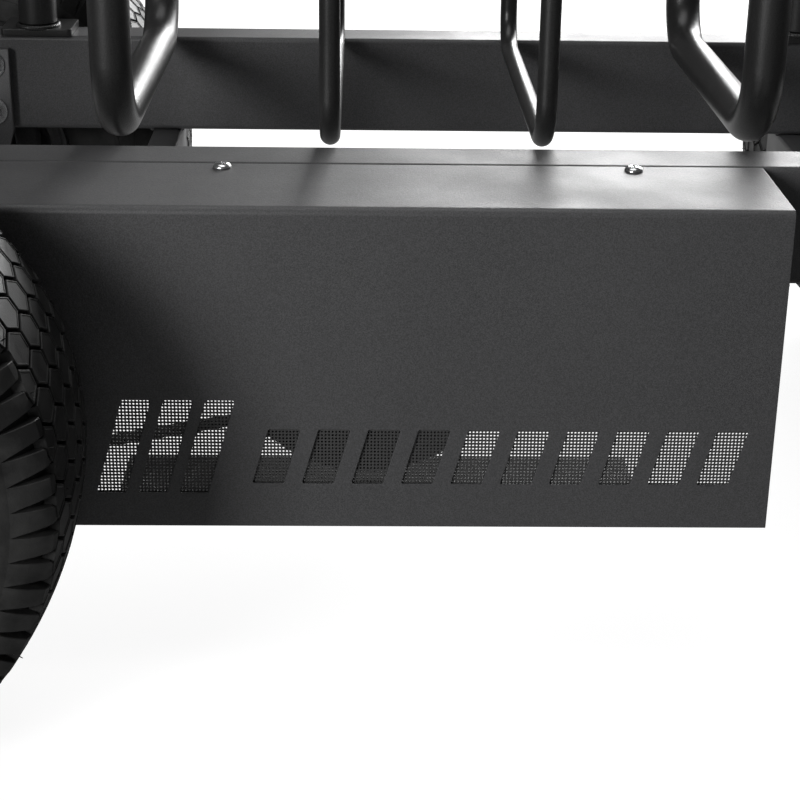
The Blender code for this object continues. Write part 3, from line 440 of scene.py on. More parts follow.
members = ["rear_crossmember", "front_crossmember", "rear_end_member", "front_end_member"]
keep(powder_black, *members, edge=0.5 * MM)
cross_ends = [
    ((way * CROSS_X, FRAME_Y + side * CROSS_LENGTH / 2, CROSS_Z), -side)
    for way in (-1, 1)
    for side in (-1, 1)
]
end_plugs("crossmember_plugs", "Y", CROSS_WIDTH, CROSS_HEIGHT, CROSS_WALL, cross_ends)
beads = []
for way in (-1, 1):
    for y, inner in RAILS.values():
        for edge in (-1, 1):
            x = way * CROSS_X + edge * (CROSS_WIDTH / 2 + 0.4 * MM)
            low = RAIL_TOP - RAIL_HEIGHT - 0.4 * MM
            beads.append(bead([(x, y - 18 * MM, low), (x, y + 18 * MM, low)], 1.7 * MM, cyclic=False))
        wall = y + inner * (RAIL_WIDTH / 2 + 0.6 * MM)
        inside = way * (END_MEMBER_X - 20.4 * MM)
        ends = [(inside, wall, rail_z - 36 * MM), (inside, wall, rail_z + 36 * MM)]
        beads.append(bead(ends, 1.9 * MM, cyclic=False))
        for top in (-1, 1):
            z = rail_z + top * (RAIL_HEIGHT / 2 - 0.6 * MM)
            ends = [(way * (END_MEMBER_X - 17 * MM), wall, z), (way * (END_MEMBER_X + 17 * MM), wall, z)]
            beads.append(bead(ends, 1.4 * MM, cyclic=False))
fit("frame_welds", merged("frame_welds", beads), "chassis", "powder_black", powder_black, sharp=80)

# Four plates of 8 mm hang from the rails' inner faces and carry the axles. Each is held by four hexagon
# screws with washers, and the rear ones hold the bearings that the driven axle turns in.
HALF_WHEELBASE, AXLE_Z = 455 * MM, 190 * MM
AXLE_RADIUS = 12.5 * MM
NEAR_PLATE_INNER = NEAR_RAIL_Y + RAIL_WIDTH / 2 + 8.3 * MM
FAR_PLATE_INNER = FAR_RAIL_Y - RAIL_WIDTH / 2 - 8.3 * MM


def lathe(name, profile, axis, centre, steps=64, swell=None):
    """A closed outline of (radius, height) points turned about an axis. swell gives how far the radius grows
    at a point and an angle."""

    def build(grid):
        rings = []
        for radius, height in profile:
            ring = []
            for i in range(steps if radius > 0 else 1):
                turn = math.tau * i / steps
                r = radius + (swell(radius, height, turn) if swell and radius > 0 else 0)
                point = TURNS[axis] @ Vector((r * math.cos(turn), r * math.sin(turn), height))
                ring.append(grid.verts.new(point + Vector(centre)))
            rings.append(ring)
        for ring, following in zip(rings, rings[1:] + rings[:1]):
            for i in range(steps):
                j = i + 1
                corners = [ring[i % len(ring)], ring[j % len(ring)]]
                corners += [following[j % len(following)], following[i % len(following)]]
                corners = list(dict.fromkeys(corners))
                if len(corners) > 2:
                    grid.faces.new(corners)

    return closed(name, build)


def brushed_grain():
    """Turned or rolled steel: fine streaks along one axis of the piece, and a light bloom of oil."""
    defaults = {"Dark": (0.3, 0.3, 0.3, 1), "Light": (0.55, 0.55, 0.55, 1), "Streaks": (900.0, 40.0, 900.0)}
    defaults.update({"Relief": 0.00002, "Satin": 0.24, "Matt": 0.42})
    tree, given, gives = effect("brushed_grain", defaults)
    place = wire(tree, "TexCoord").outputs["Object"]
    pulled = wire(tree, "VectorMath", {0: place, 1: given["Streaks"]}, operation="MULTIPLY").outputs[0]
    line = wire(tree, "TexNoise", {"Vector": pulled, "Scale": 1.0, "Detail": 4.0, "Roughness": 0.65})
    bloom = wire(tree, "TexNoise", {"Vector": place, "Scale": 26.0, "Detail": 3.0})
    surfaced(tree, given, gives, (line, 0.3, 0.7), (bloom, 0.3, 0.7), line)
    return tree


steel_grain = brushed_grain()
turned_steel = finish("turned_steel", steel_grain, {"Streaks": (60.0, 1500.0, 60.0)}, metallic=1.0)
zinc_tones = {"Dark": (0.52, 0.53, 0.54, 1), "Light": (0.8, 0.8, 0.8, 1), "Streaks": (700.0, 700.0, 700.0)}
zinc_plate = finish("zinc_plate", steel_grain, {**zinc_tones, "Satin": 0.16, "Matt": 0.34}, metallic=1.0)


def in_mm(pairs):
    return [(u * MM, v * MM) for u, v in pairs]


def six_flats(half):
    """How a turned head's radius gives way to six flats at this distance from its axis."""

    def swell(radius, height, turn):
        flat = half / math.cos((turn + math.tau / 12) % (math.tau / 6) - math.tau / 12)
        return min(0, flat - radius)

    return swell


def hexagon_screw(axis, place, across_flats=13 * MM, height=5.3 * MM):
    """A washer and a hexagon head, chamfered, standing out along the axis."""
    half, washer_top = across_flats / 2, 1.6 * MM
    washer = [(0, 0), (0.92 * across_flats, 0), (0.95 * across_flats, 0.4 * MM)]
    washer += [(0.92 * across_flats, washer_top), (0, washer_top)]
    top = washer_top + height
    corner = half / math.cos(math.tau / 12)
    head = [(0, washer_top - 0.1 * MM), (corner, washer_top - 0.1 * MM), (corner, top - 0.12 * half)]
    head += [(0.96 * half, top), (0.62 * half, top - 0.25 * MM), (0, top - 0.25 * MM)]
    return [lathe("washer", washer, axis, place, 32), lathe("head", head, axis, place, 36, six_flats(half))]


plates = [f"{end}_{side}_plate" for end in ("rear", "front") for side in ("near", "far")]
keep(powder_black, *plates, edge=0.9 * MM)
heads = []
for x in (-HALF_WHEELBASE, HALF_WHEELBASE):
    for dx in (-36 * MM, 36 * MM):
        for z in (292 * MM, 252 * MM):
            heads += hexagon_screw("-Y", (x + dx, NEAR_PLATE_INNER, z))
            heads += hexagon_screw("Y", (x + dx, FAR_PLATE_INNER, z))
fit("plate_screws", merged("plate_screws", heads), "chassis", "zinc_steel", zinc_plate)
race = [(25.4, 6), (26, 5.4), (26, -5.4), (25.4, -6), (21.5, -6), (21.5, -5.2), (17, -5.2), (17, -6)]
race += [(13, -6), (13, 6), (17, 6), (17, 5.2), (21.5, 5.2), (21.5, 6)]
for side, y in (("near", NEAR_PLATE_INNER - 4 * MM), ("far", FAR_PLATE_INNER + 4 * MM)):
    ring = lathe("bearing", in_mm(race), "Y", (-HALF_WHEELBASE, y, AXLE_Z))
    fit(f"rear_{side}_bearing_ring", ring, "chassis", "brushed_steel", turned_steel, f"rear_{side}_bearing")

# The axles are bright bars with a self locking nut and a washer at each end. The rear one turns with its
# wheels, and the front one is held in its plates.
AXLE_HALF_LENGTH = 423.8 * MM
collar = in_mm([(11.5, 9), (15.5, 9), (15, 12.2), (13, 12.8), (11.5, 12.8)])


def chamfered_rod(name, radius, chamfer, low, high, place, steps):
    """A bar along y from low to high, both ends chamfered."""
    profile = [(0, low), (radius - chamfer, low), (radius, low + chamfer)]
    profile += [(radius, high - chamfer), (radius - chamfer, high), (0, high)]
    return lathe(name, [(r, -y) for r, y in profile], "Y", place, steps)


for name, node, x, body in (
    ("rear_axle_bar", "rear_axle", -HALF_WHEELBASE, "rear_wheels"),
    ("front_axle_bar", "front_axle", HALF_WHEELBASE, "chassis"),
):
    tip = AXLE_HALF_LENGTH
    parts = [chamfered_rod("bar", AXLE_RADIUS, 1.5 * MM, -tip, tip, (x, 0, AXLE_Z), 48)]
    for way, axis in ((-1, "Y"), (1, "-Y")):
        seat = (x, way * (AXLE_HALF_LENGTH - 14 * MM), AXLE_Z)
        parts += hexagon_screw(axis, seat, 34 * MM, 8.6 * MM)
        parts.append(lathe("collar", collar, axis, seat, 48))
    fit(name, merged(name, parts), body, "brushed_steel", turned_steel, node)

# Four pneumatic turf tyres, moulded rubber. The tread is a honeycomb of low blocks between narrow grooves. At
# each pitch a shoulder lug runs down the wall beside a notch that narrows to a point, and the mould leaves
# fine hairs.
HALF_TRACK, TYRE_RADIUS = 364.5 * MM, 190 * MM
PITCHES, COLUMN = 68, 13.5 * MM
PITCH = math.tau * TYRE_RADIUS / PITCHES
TREAD_EDGE, TREAD_DEPTH, CROWN_DROP = 60 * MM, 6 * MM, 4.4 * MM
GROOVE, SIPE, ARRIS, LIP = 1.9 * MM, 2.4 * MM, 0.5 * MM, 1.2 * MM
OUTERMOST = 58.6 * MM
# Where the slots lie across even and odd rows, one column apart so that the blocks form a honeycomb
EVEN_SLOTS = [-OUTERMOST, -3 * COLUMN, -COLUMN, COLUMN, 3 * COLUMN, OUTERMOST]
ODD_SLOTS = [-4 * COLUMN, -2 * COLUMN, 0, 2 * COLUMN, 4 * COLUMN]
SLOT_REACH = 0.33  # how far a slot runs from its row's middle, in pitches


def rubber_skin():
    """Moulded rubber: a fine matt grain, with grey dust in patches and mould sheen between them."""
    defaults = {"Dark": (0.009, 0.009, 0.009, 1), "Light": (0.028, 0.028, 0.0275, 1), "Grain": 900.0}
    defaults.update({"Relief": 0.0001, "Satin": 0.36, "Matt": 0.62})
    tree, given, gives = effect("rubber_skin", defaults)
    place = wire(tree, "TexCoord").outputs["Object"]
    patch = wire(tree, "TexNoise", {"Vector": place, "Scale": 34.0, "Detail": 5.0, "Roughness": 0.6})
    grain = wire(tree, "TexNoise", {"Vector": place, "Scale": given["Grain"], "Detail": 2.0})
    surfaced(tree, given, gives, (patch, 0.42, 0.68), (patch, 0.35, 0.7), grain)
    return tree


rubber_grain = rubber_skin()
tyre_rubber = finish("tyre_rubber", rubber_grain, {}, specular=0.2)


def tyre_point(grid, radius, y, pitch):
    turn = math.tau * pitch / PITCHES
    return grid.verts.new((radius * math.cos(turn), y, radius * math.sin(turn)))


def crown(y):
    """The tread's outer radius at this distance from the tyre's middle."""
    return TYRE_RADIUS - CROWN_DROP * (y / TREAD_EDGE) ** 2


def tyre_carcass():
    """The casing from bead to bead, with the floor of the notches and of the tread."""
    wall = [(76.2, 59.7), (86.2, 59.7), (92, 61.5), (101, 66), (112, 69.6), (124, 71.6), (130, 72.3)]
    wall += [(131, 73.1), (133.5, 73.1), (134.5, 72.5), (142, 72.5), (147.8, 72.2), (148.2, 71.8)]
    wall += [(148.6, 71.8), (149, 72.1), (156, 71.6), (162.5, 70.6), (168.3, 66.4), (173.4, 62.4)]
    wall += [(177.5, 59), (180, 54), (182.6, 32), (184, 0)]
    half = in_mm(wall)
    return lathe("carcass", half + [(r, -y) for r, y in half[-2::-1]], "Y", (0, 0, 0), 3 * PITCHES)


def shoulder_line(pitch):
    """How far from the middle the groove lies that parts the lugs from the blocks, at this pitch."""
    away = abs((pitch + 1) % 2 - 1)
    share = min(1, max(0, (away - SLOT_REACH) / (1 - 2 * SLOT_REACH)))
    return EVEN_SLOTS[-1] + (ODD_SLOTS[-1] - EVEN_SLOTS[-1]) * share


def shoulder_lug(grid, way, pitch):
    """One lug: flush with the wall at the notches' tips, then narrower and prouder, over the tread's edge."""
    rings = []
    face_line = [(70.6, 162.5), (69.5, 167.6), (67.8, 172.6), (65.3, 177.6), (62.6, 182.2), (60.8, 184.6)]
    floor_line = [(68.4, 162), (65, 167), (61, 172), (57, 176.4), (55, 178.6), (53, 180)]
    for step, (face, floor) in enumerate(zip(face_line, floor_line)):
        share = step / (len(face_line) - 1)
        face, floor = Vector(face) * MM, Vector(floor) * MM
        deep = (floor - face).length
        start = 0.4 * share**0.75
        edge = ARRIS * min(1, 3 * share)
        inset = edge / PITCH
        outline = [(start, deep), (start, edge), (start + inset, 0), ((start + 1) / 2, 0)]
        outline += [(1 - inset, 0), (1, edge), (1, deep)]
        ring = []
        for turn, depth in outline:
            y, r = face.lerp(floor, depth / deep)
            ring.append(tyre_point(grid, r, way * y, pitch + turn))
        rings.append(ring)
    for inner in (False, True):
        ring = []
        for turn, depth in ((0.42, 8), (0.42, 0.55), (0.46, 0), (0.7, 0), (0.94, 0), (0.98, 0.55), (0.98, 8)):
            y = shoulder_line(pitch + turn) + SIPE / 2 + (0 if inner else ARRIS)
            r = crown(y) - depth * MM - (ARRIS if inner and not depth else 0)
            ring.append(tyre_point(grid, r, way * y, pitch + turn))
        rings.append(ring)
    skinned(grid, rings)


def tread_block(grid, low, high, apex, row):
    """One six sided block between two slots, its points between the slots of the next rows. A broken edge and
    a low lip run round its top."""
    groove = GROOVE / 2 / PITCH
    side, point = SLOT_REACH - groove, 1 - SLOT_REACH - groove
    low, high = low + SIPE / 2, high - SIPE / 2
    corners = [(low, -side), (low, side), (apex, point), (high, side), (high, -side), (apex, -point)]
    edge, lip = 2 * ARRIS / (high - low), 2 * LIP / (high - low)
    steps = [(TREAD_DEPTH + 1 * MM, 1.04), (ARRIS, 1), (0, 1 - edge), (0, 1 - lip)]
    steps.append((0.45 * MM, 1 - lip - edge))
    rings = []
    for depth, grow in steps:
        ring = []
        for y, turn in corners:
            y = apex + (y - apex) * grow
            ring.append(tyre_point(grid, crown(y) - depth, y, row + turn * grow))
        rings.append(ring)
    skinned(grid, rings)


def mould_hair(grid, number):
    """A thread of rubber that was drawn into one of the mould's vents, bent over a little."""
    pitch = number * 0.937
    y = (38 + number * 37 % 19) * MM * (1 if number % 2 else -1)
    length = (1.6 + number * 13 % 7 * 0.12) * MM
    lean = (number * 7 % 5 - 2) * 0.35 * MM
    rings = []
    for share, thick in ((-0.3, 0.4), (0.5, 0.34), (1.0, 0.2)):
        ring = []
        for k in range(4):
            turn = math.tau * k / 4
            around = thick * MM * math.cos(turn) / PITCH
            across_hair = y + lean * max(0, share) ** 2 + thick * MM * math.sin(turn)
            ring.append(tyre_point(grid, crown(y) + length * share, across_hair, pitch + around))
        rings.append(ring)
    skinned(grid, rings)


def tread(grid):
    for pitch in range(PITCHES):
        slots, others = (ODD_SLOTS, EVEN_SLOTS) if pitch % 2 else (EVEN_SLOTS, ODD_SLOTS)
        for low, high in zip(slots, slots[1:]):
            apex = next(slot for slot in others if low < slot < high)
            tread_block(grid, low, high, apex, pitch)
        for way in (-1, 1):
            shoulder_lug(grid, way, pitch)
        mould_hair(grid, pitch)


tyre_mesh = merged("tyre", [tyre_carcass(), closed("tread", tread)])
wheel_bodies = {
    "rear_near": "rear_wheels",
    "rear_far": "rear_wheels",
    "front_near": "front_near_wheel",
    "front_far": "front_far_wheel",
}
wheel_places = {
    f"{end}_{side}": Vector((x, way * HALF_TRACK, AXLE_Z))
    for end, x in (("rear", -HALF_WHEELBASE), ("front", HALF_WHEELBASE))
    for side, way in (("near", -1), ("far", 1))
}
for wheel, place in wheel_places.items():
    mesh = tyre_mesh.copy()
    mesh.transform(Matrix.Translation(place))
    body = wheel_bodies[wheel]
    fit(f"{wheel}_turf_tyre", mesh, body, "tyre_rubber", tyre_rubber, f"{wheel}_tyre", sharp=28)

# The rims are pressed steel halves welded to a hub tube and painted black. Four screws join them, and a
# rubber valve stem stands by the well.
rim_tones = {"Dark": (0.022, 0.022, 0.023, 1), "Light": (0.04, 0.04, 0.042, 1), "Grain": 700.0}
rim_black = finish("rim_black", powder_grain, {**rim_tones, "Relief": 0.00003, "Satin": 0.3, "Matt": 0.42})
rim_side = [(75.6, 60), (86.2, 60), (86.2, 62.6), (85.4, 63.7), (84, 64), (82.4, 63.4), (81.4, 61.8)]
rim_side += [(80.4, 60.4), (78, 59), (70.6, 57), (69.6, 55), (69.6, 34), (67.6, 30), (63, 27), (58, 22)]
rim_side += [(52, 9), (46, 6.2), (30, 6.2), (27.6, 7), (27, 8.4), (27, 43.6), (26, 45)]
rim_side += [(13.6, 45), (12.9, 44.3)]
half = in_mm(rim_side)
rim_profile = half + [(r, -h) for r, h in half[::-1]]
stem = in_mm([(0, 0), (5, 0), (5, 3), (3.6, 5), (3.2, 18), (2.6, 19), (2.6, 26), (0, 26)])
for wheel, place in wheel_places.items():
    body = wheel_bodies[wheel]
    parts = [lathe("rim", rim_profile, "Y", place, 96)]
    for way, axis in ((-1, "Y"), (1, "-Y")):
        for i in range(4):
            turn = math.tau * (i + 0.5) / 4
            spot = place + Vector((38 * MM * math.cos(turn), way * 6.2 * MM, 38 * MM * math.sin(turn)))
            parts += hexagon_screw(axis, spot, 10 * MM, 4.4 * MM)
    fit(f"{wheel}_pressed_rim", merged("rim", parts), body, "rim_steel", rim_black, f"{wheel}_rim")
    out, axis = (-1, "Y") if "near" in wheel else (1, "-Y")
    valve = lathe("valve", stem, axis, place + Vector((0, out * 20 * MM, 59 * MM)), 24)
    fit(f"{wheel}_valve", valve, body, "tyre_rubber", tyre_rubber)

# The driven axle carries a large pulley and the flywheel shaft a small one, both turned steel with grooves
# for the ribs of the belt, which is black rubber and stands still here.
BELT_Y, BELT_HALF = -245 * MM, 6 * MM
AXLE_PULLEY, SHAFT_PULLEY = 72 * MM, 24 * MM
FLYWHEEL_X, FLYWHEEL_Y, FLYWHEEL_Z = -100 * MM, -205 * MM, 208 * MM
AXLE_SPOT, SHAFT_SPOT = (-HALF_WHEELBASE, AXLE_Z), (FLYWHEEL_X, FLYWHEEL_Z)
belt_rubber = finish(
    "belt_rubber",
    rubber_grain,
    {"Dark": (0.016, 0.016, 0.016, 1), "Light": (0.028, 0.028, 0.028, 1), "Grain": 1600.0, "Satin": 0.5},
    specular=0.4,
)


def grooved_pulley(name, node, spot, radius, bore, body):
    """Two flanges with five grooves between them and, on a large pulley, a hollow in each face."""
    half = [(radius + 3 * MM, 8.3 * MM), (radius + 3 * MM, 6.9 * MM)]
    half += [(radius + 2.2 * MM, 6.3 * MM), (radius, 6.3 * MM)]
    grooves = []
    for i in range(5):
        middle = (4.4 - 2.2 * i) * MM
        grooves += [(radius, middle + 0.9 * MM), (radius - 1.4 * MM, middle), (radius, middle - 0.9 * MM)]
    hollow = []
    if radius > 40 * MM:
        hollow += [(radius - 6 * MM, -8.3 * MM), (radius - 8 * MM, -6 * MM)]
        hollow += [(bore + 8 * MM, -6 * MM), (bore + 7 * MM, -8.3 * MM)]
    profile = half + grooves + [(r, -h) for r, h in half[::-1]] + hollow
    profile += [(bore + 0.6 * MM, -8.3 * MM), (bore, -7.7 * MM)]
    profile += [(bore, 7.7 * MM), (bore + 0.6 * MM, 8.3 * MM)]
    profile += [(r, -h) for r, h in hollow[::-1]]
    mesh = lathe(name, profile, "Y", (spot[0], BELT_Y, spot[1]), 96)
    fit(name, mesh, body, "brushed_steel", turned_steel, node)


grooved_pulley("axle_belt_pulley", "axle_pulley", AXLE_SPOT, AXLE_PULLEY, 12.9 * MM, "rear_wheels")
grooved_pulley("shaft_belt_pulley", "flywheel_pulley", SHAFT_SPOT, SHAFT_PULLEY, 8.9 * MM, "flywheel_set")


def belt_loop(offset, steps=40):
    """The line round both pulleys, this far outside their rims."""
    span = Vector((FLYWHEEL_X + HALF_WHEELBASE, FLYWHEEL_Z - AXLE_Z))
    tilt = math.degrees(math.atan2(span.y, span.x))
    wrap = math.degrees(math.acos((AXLE_PULLEY - SHAFT_PULLEY) / span.length))
    big = arc(AXLE_SPOT, AXLE_PULLEY + offset, tilt + wrap, tilt + 360 - wrap, steps)
    return big + arc(SHAFT_SPOT, SHAFT_PULLEY + offset, tilt - wrap, tilt + wrap, steps)


loops = [belt_loop(4.3 * MM), belt_loop(0.3 * MM)]
belt = cut_plate("belt", loops, "Y", 2 * BELT_HALF, (0, BELT_Y, 0), 0.7 * MM)
fit("ribbed_belt", belt, "chassis", "belt_rubber", belt_rubber, "drive_belt")

# The flywheel is a turned steel disc that runs between the brake's magnets. Its shaft passes under the rail
# in the barrel of a housing that is screwed to the rail's outer face.
disc_tones = {"Dark": (0.34, 0.34, 0.35, 1), "Light": (0.62, 0.62, 0.63, 1), "Streaks": (90.0, 20.0, 90.0)}
disc_steel = finish("disc_steel", steel_grain, disc_tones, metallic=1.0)
disc = [(22, 6.4), (21.4, 7), (9.5, 7), (8.9, 6.4), (8.9, -6.4), (9.5, -7), (21.4, -7), (22, -6.4)]
disc += [(22, -5.4), (22.4, -5), (84, -5), (84.6, -4.4), (86.4, -4.4), (87, -5), (94.2, -5), (95, -4.2)]
disc += [(95, 4.2), (94.2, 5), (87, 5), (86.4, 4.4), (84.6, 4.4), (84, 5), (22.4, 5), (22, 5.4)]
disc_mesh = lathe("disc", in_mm(disc), "Y", (FLYWHEEL_X, FLYWHEEL_Y, FLYWHEEL_Z), 128)
fit("flywheel_disc", disc_mesh, "flywheel_set", "brushed_steel", disc_steel, "flywheel")
low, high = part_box("flywheel_shaft")
spindle = chamfered_rod("shaft", 8.5 * MM, 0.9 * MM, low.y, high.y, (FLYWHEEL_X, 0, FLYWHEEL_Z), 40)
fit("flywheel_spindle", spindle, "flywheel_set", "brushed_steel", turned_steel, "flywheel_shaft")
keep(powder_black, "flywheel_housing", edge=0.9 * MM)
keep(powder_black, "drive_tray", edge=0.3 * MM)
heads = []
for dx in (-38 * MM, 38 * MM):
    for z in (292 * MM, 250 * MM):
        heads += hexagon_screw("Y", (FLYWHEEL_X + dx, NEAR_RAIL_OUTER - 8.3 * MM, z))
fit("housing_screws", merged("housing_screws", heads), "chassis", "zinc_steel", zinc_plate)

# The brake: a steel yoke with two magnets straddles the disc's rim. The lever inside the frame turns its
# shaft, and so swings the magnets over more or less of the disc.
BRAKE_X, BRAKE_Z, BALL_RADIUS = 75 * MM, 213 * MM, 13 * MM
knob_tones = {"Dark": (0.02, 0.02, 0.02, 1), "Light": (0.034, 0.034, 0.034, 1), "Grain": 2600.0}
knob_values = {**knob_tones, "Relief": 0.00003, "Satin": 0.34, "Matt": 0.46}
knob_plastic = finish("knob_plastic", powder_grain, knob_values)
keep(turned_steel, "magnet_yoke", edge=0.5 * MM)
keep(powder_black, "brake_bush", "brake_lever", edge=0.8 * MM)
low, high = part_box("brake_shaft")
brake_rod = chamfered_rod("brake_rod", 8 * MM, 0.8 * MM, low.y, high.y, (BRAKE_X, 0, BRAKE_Z), 40)
fit("brake_rod", brake_rod, "brake_selector", "brushed_steel", turned_steel, "brake_shaft")
low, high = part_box("lever_knob")
half = (high.y - low.y) / 2
ball = [(0, half)]
for angle in range(32, 145, 8):
    ball.append((BALL_RADIUS * math.sin(math.radians(angle)), half * math.cos(math.radians(angle))))
ball += [(8 * MM, -half + 1 * MM), (7.4 * MM, -half), (0, -half)]
ball_mesh = lathe("lever_ball", ball, "Y", (low + high) / 2, 48)
fit("lever_ball", ball_mesh, "brake_selector", "knob_plastic", knob_plastic, "lever_knob")

# The side cover: one 2 mm steel sheet folded down over the drive, flush with the rail's top and open at its
# ends and below. Leaning vents are cut through its face, and a slot lets it drop over the rear axle.
COVER_SHEET, COVER_BEND = 2 * MM, 5 * MM
COVER_FACE = NEAR_RAIL_OUTER - 101 * MM
COVER_LEFT, COVER_RIGHT, COVER_LOW = -542 * MM, 155.5 * MM, 105 * MM
COVER_EDGE, AXLE_SLOT = NEAR_RAIL_OUTER - 1 * MM, 26 * MM
VENT_LEAN = math.tan(math.radians(16))
# Each row of vents: the first one's left, the row's base, a vent's width and height, the spacing, how many
VENT_ROWS = [
    (-172 * MM, 135 * MM, 20 * MM, 37 * MM, 31.2 * MM, 10),
    (-270 * MM, 128 * MM, 18 * MM, 63 * MM, 26 * MM, 3),
]


def cover_fold(grid):
    """The folded sheet's section, drawn out along the sled."""
    bend = (COVER_FACE + COVER_BEND, RAIL_TOP - COVER_BEND)
    outer = [(COVER_EDGE, RAIL_TOP)] + arc(bend, COVER_BEND, 90, 180, 10) + [(COVER_FACE, COVER_LOW)]
    inner = [(COVER_FACE + COVER_SHEET, COVER_LOW)] + arc(bend, COVER_BEND - COVER_SHEET, 180, 90, 10)
    inner.append((COVER_EDGE, RAIL_TOP - COVER_SHEET))
    section = outer + inner
    skinned(grid, [[grid.verts.new((x, y, z)) for y, z in section] for x in (COVER_LEFT, COVER_RIGHT)])


def bend_at(before, corner, after):
    """The corner, the directions to its neighbours, and half the angle between them."""
    corner = Vector(corner)
    arrive, leave = (Vector(before) - corner).normalized(), (Vector(after) - corner).normalized()
    return corner, arrive, leave, arrive.angle(leave) / 2


def softened(points, radius, steps=3):
    """An outline with its corners rounded."""
    made = []
    for neighbours in zip(points[-1:] + points[:-1], points, points[1:] + points[:1]):
        corner, arrive, leave, half = bend_at(*neighbours)
        start, end = corner + arrive * radius / math.tan(half), corner + leave * radius / math.tan(half)
        for i in range(steps + 1):
            t = i / steps
            made.append(tuple(start * (1 - t) ** 2 + corner * 2 * t * (1 - t) + end * t * t))
    return made


vents = []
for first, base, width, height, pitch, count in VENT_ROWS:
    shift = height * VENT_LEAN
    for i in range(count):
        left = first + i * pitch
        slot = [(left, base), (left + width, base)]
        slot += [(left + width + shift, base + height), (left + shift, base + height)]
        vents.append(softened(slot, 1.4 * MM))
below = AXLE_Z - 2 * (AXLE_Z - COVER_LOW)
axle_slot = [(AXLE_SLOT - HALF_WHEELBASE, below)] + arc(AXLE_SPOT, AXLE_SLOT, 0, 180, 24)
vents.append(axle_slot + [(-AXLE_SLOT - HALF_WHEELBASE, below)])
cover = placed("cover_sheet", closed("cover_sheet", cover_fold))
cutters = [cut_plate("vent", [outline], "Y", 12 * MM, (0, COVER_FACE, 0)) for outline in vents]
hole = in_mm([(0, 10), (3.4, 10), (3.4, -10), (0, -10)])
cutters += [lathe("screw_hole", hole, "Z", (x, SCREW_Y, RAIL_TOP), 24) for x in SCREW_PLACES]
cutter = placed("cover_cutter", merged("cover_cutter", cutters))
cover.modifiers.new("vents", "BOOLEAN").object = cutter
deburred(cover, 0.45 * MM, 50)
cover_mesh = settled(cover, cutter)
fit("folded_side_cover", cover_mesh, "chassis", "powder_black", powder_black, "side_cover", sharp=30)

# Behind the vents lies a perforated sheet, 1 mm thick and painted black: round holes on a square grid of
# 2.2 mm, with a plain margin along its edges.
MESH_PITCH, HOLE_RADIUS = 2.2 * MM, 0.72 * MM
mesh_black = finish(
    "mesh_black",
    powder_grain,
    {"Dark": (0.02, 0.02, 0.02, 1), "Light": (0.04, 0.04, 0.04, 1), "Grain": 2000.0, "Relief": 0.00002},
)
mesh_low, mesh_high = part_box("vent_mesh")
columns = int((mesh_high.x - mesh_low.x) / MESH_PITCH)
lines = int((mesh_high.z - mesh_low.z) / MESH_PITCH)
step_x, step_z = (mesh_high.x - mesh_low.x) / columns, (mesh_high.z - mesh_low.z) / lines


def behind_vent(x, z):
    for first, base, width, height, pitch, count in VENT_ROWS:
        last = first + (count - 1) * pitch + width + height * VENT_LEAN
        if first - 4 * MM < x < last + 4 * MM and base - 3 * MM < z < base + height + 3 * MM:
            return True
    return False


def perforated(grid):
    sides = (mesh_low.y, mesh_high.y)
    corners = {}
    for i in range(columns + 1):
        for k in range(lines + 1):
            x, z = mesh_low.x + i * step_x, mesh_low.z + k * step_z
            corners[i, k] = [grid.verts.new((x, y, z)) for y in sides]
    for i in range(columns):
        for k in range(lines):
            around = [corners[i, k], corners[i + 1, k], corners[i + 1, k + 1], corners[i, k + 1]]
            x, z = mesh_low.x + (i + 0.5) * step_x, mesh_low.z + (k + 0.5) * step_z
            if not behind_vent(x, z):
                for side in (0, 1):
                    grid.faces.new([c[side] for c in around])
                continue
            hole = []
            for turn in range(8):
                a = math.tau * turn / 8 - 3 * math.tau / 8
                px, pz = x + HOLE_RADIUS * math.cos(a), z + HOLE_RADIUS * math.sin(a)
                hole.append([grid.verts.new((px, y, pz)) for y in sides])
            for q in range(4):
                mine, following = around[q], around[(q + 1) % 4]
                ring = [hole[(2 * q + s) % 8] for s in (0, 1, 2)]
                for side in (0, 1):
                    grid.faces.new((mine[side], ring[1][side], ring[0][side]))
                    grid.faces.new((mine[side], following[side], ring[2][side], ring[1][side]))
            for turn in range(8):
                one, other = hole[turn], hole[(turn + 1) % 8]
                grid.faces.new((one[0], other[0], other[1], one[1]))
    rim = [corners[i, 0] for i in range(columns)] + [corners[columns, k] for k in range(lines)]
    rim += [corners[i, lines] for i in range(columns, 0, -1)] + [corners[0, k] for k in range(lines, 0, -1)]
    for one, other in zip(rim, rim[1:] + rim[:1]):
        grid.faces.new((one[0], other[0], other[1], one[1]))


sheet_mesh = closed("perforated_sheet", perforated)
fit("perforated_sheet", sheet_mesh, "chassis", "mesh_black", mesh_black, "vent_mesh")

# Three zinc plated pan head screws with cross recesses hold the cover to the tabs. Their shanks pass through
# the flange in holes that leave them a little room.
CROSS_REACH, CROSS_HALF = 3.3 * MM, 0.75 * MM
pan = [(0, 3.2), (2.6, 3.1), (4.2, 2.75), (5.3, 2.0), (5.9, 1.1), (6, 0.5), (5.8, 0), (3, 0), (3, -9)]
pan.append((0, -9))
for number, x in enumerate(SCREW_PLACES, 1):
    place = Vector((x, SCREW_Y, RAIL_TOP + 0.1 * MM))
    screw = placed("screw", lathe("screw", in_mm(pan), "Z", place, 48))
    recesses = []
    for u, v in ((CROSS_REACH, CROSS_HALF), (CROSS_HALF, CROSS_REACH)):
        bar = brick(place + Vector((-u, -v, 1.2 * MM)), place + Vector((u, v, 5 * MM)), 0.1 * MM)
        recesses.append(placed("recess", bar))
        screw.modifiers.new("recess", "BOOLEAN").object = recesses[-1]
    made = settled(screw, *recesses)
    fit(f"pan_screw_{number}", made, "chassis", "zinc_steel", zinc_plate, f"cover_screw_{number}", sharp=30)

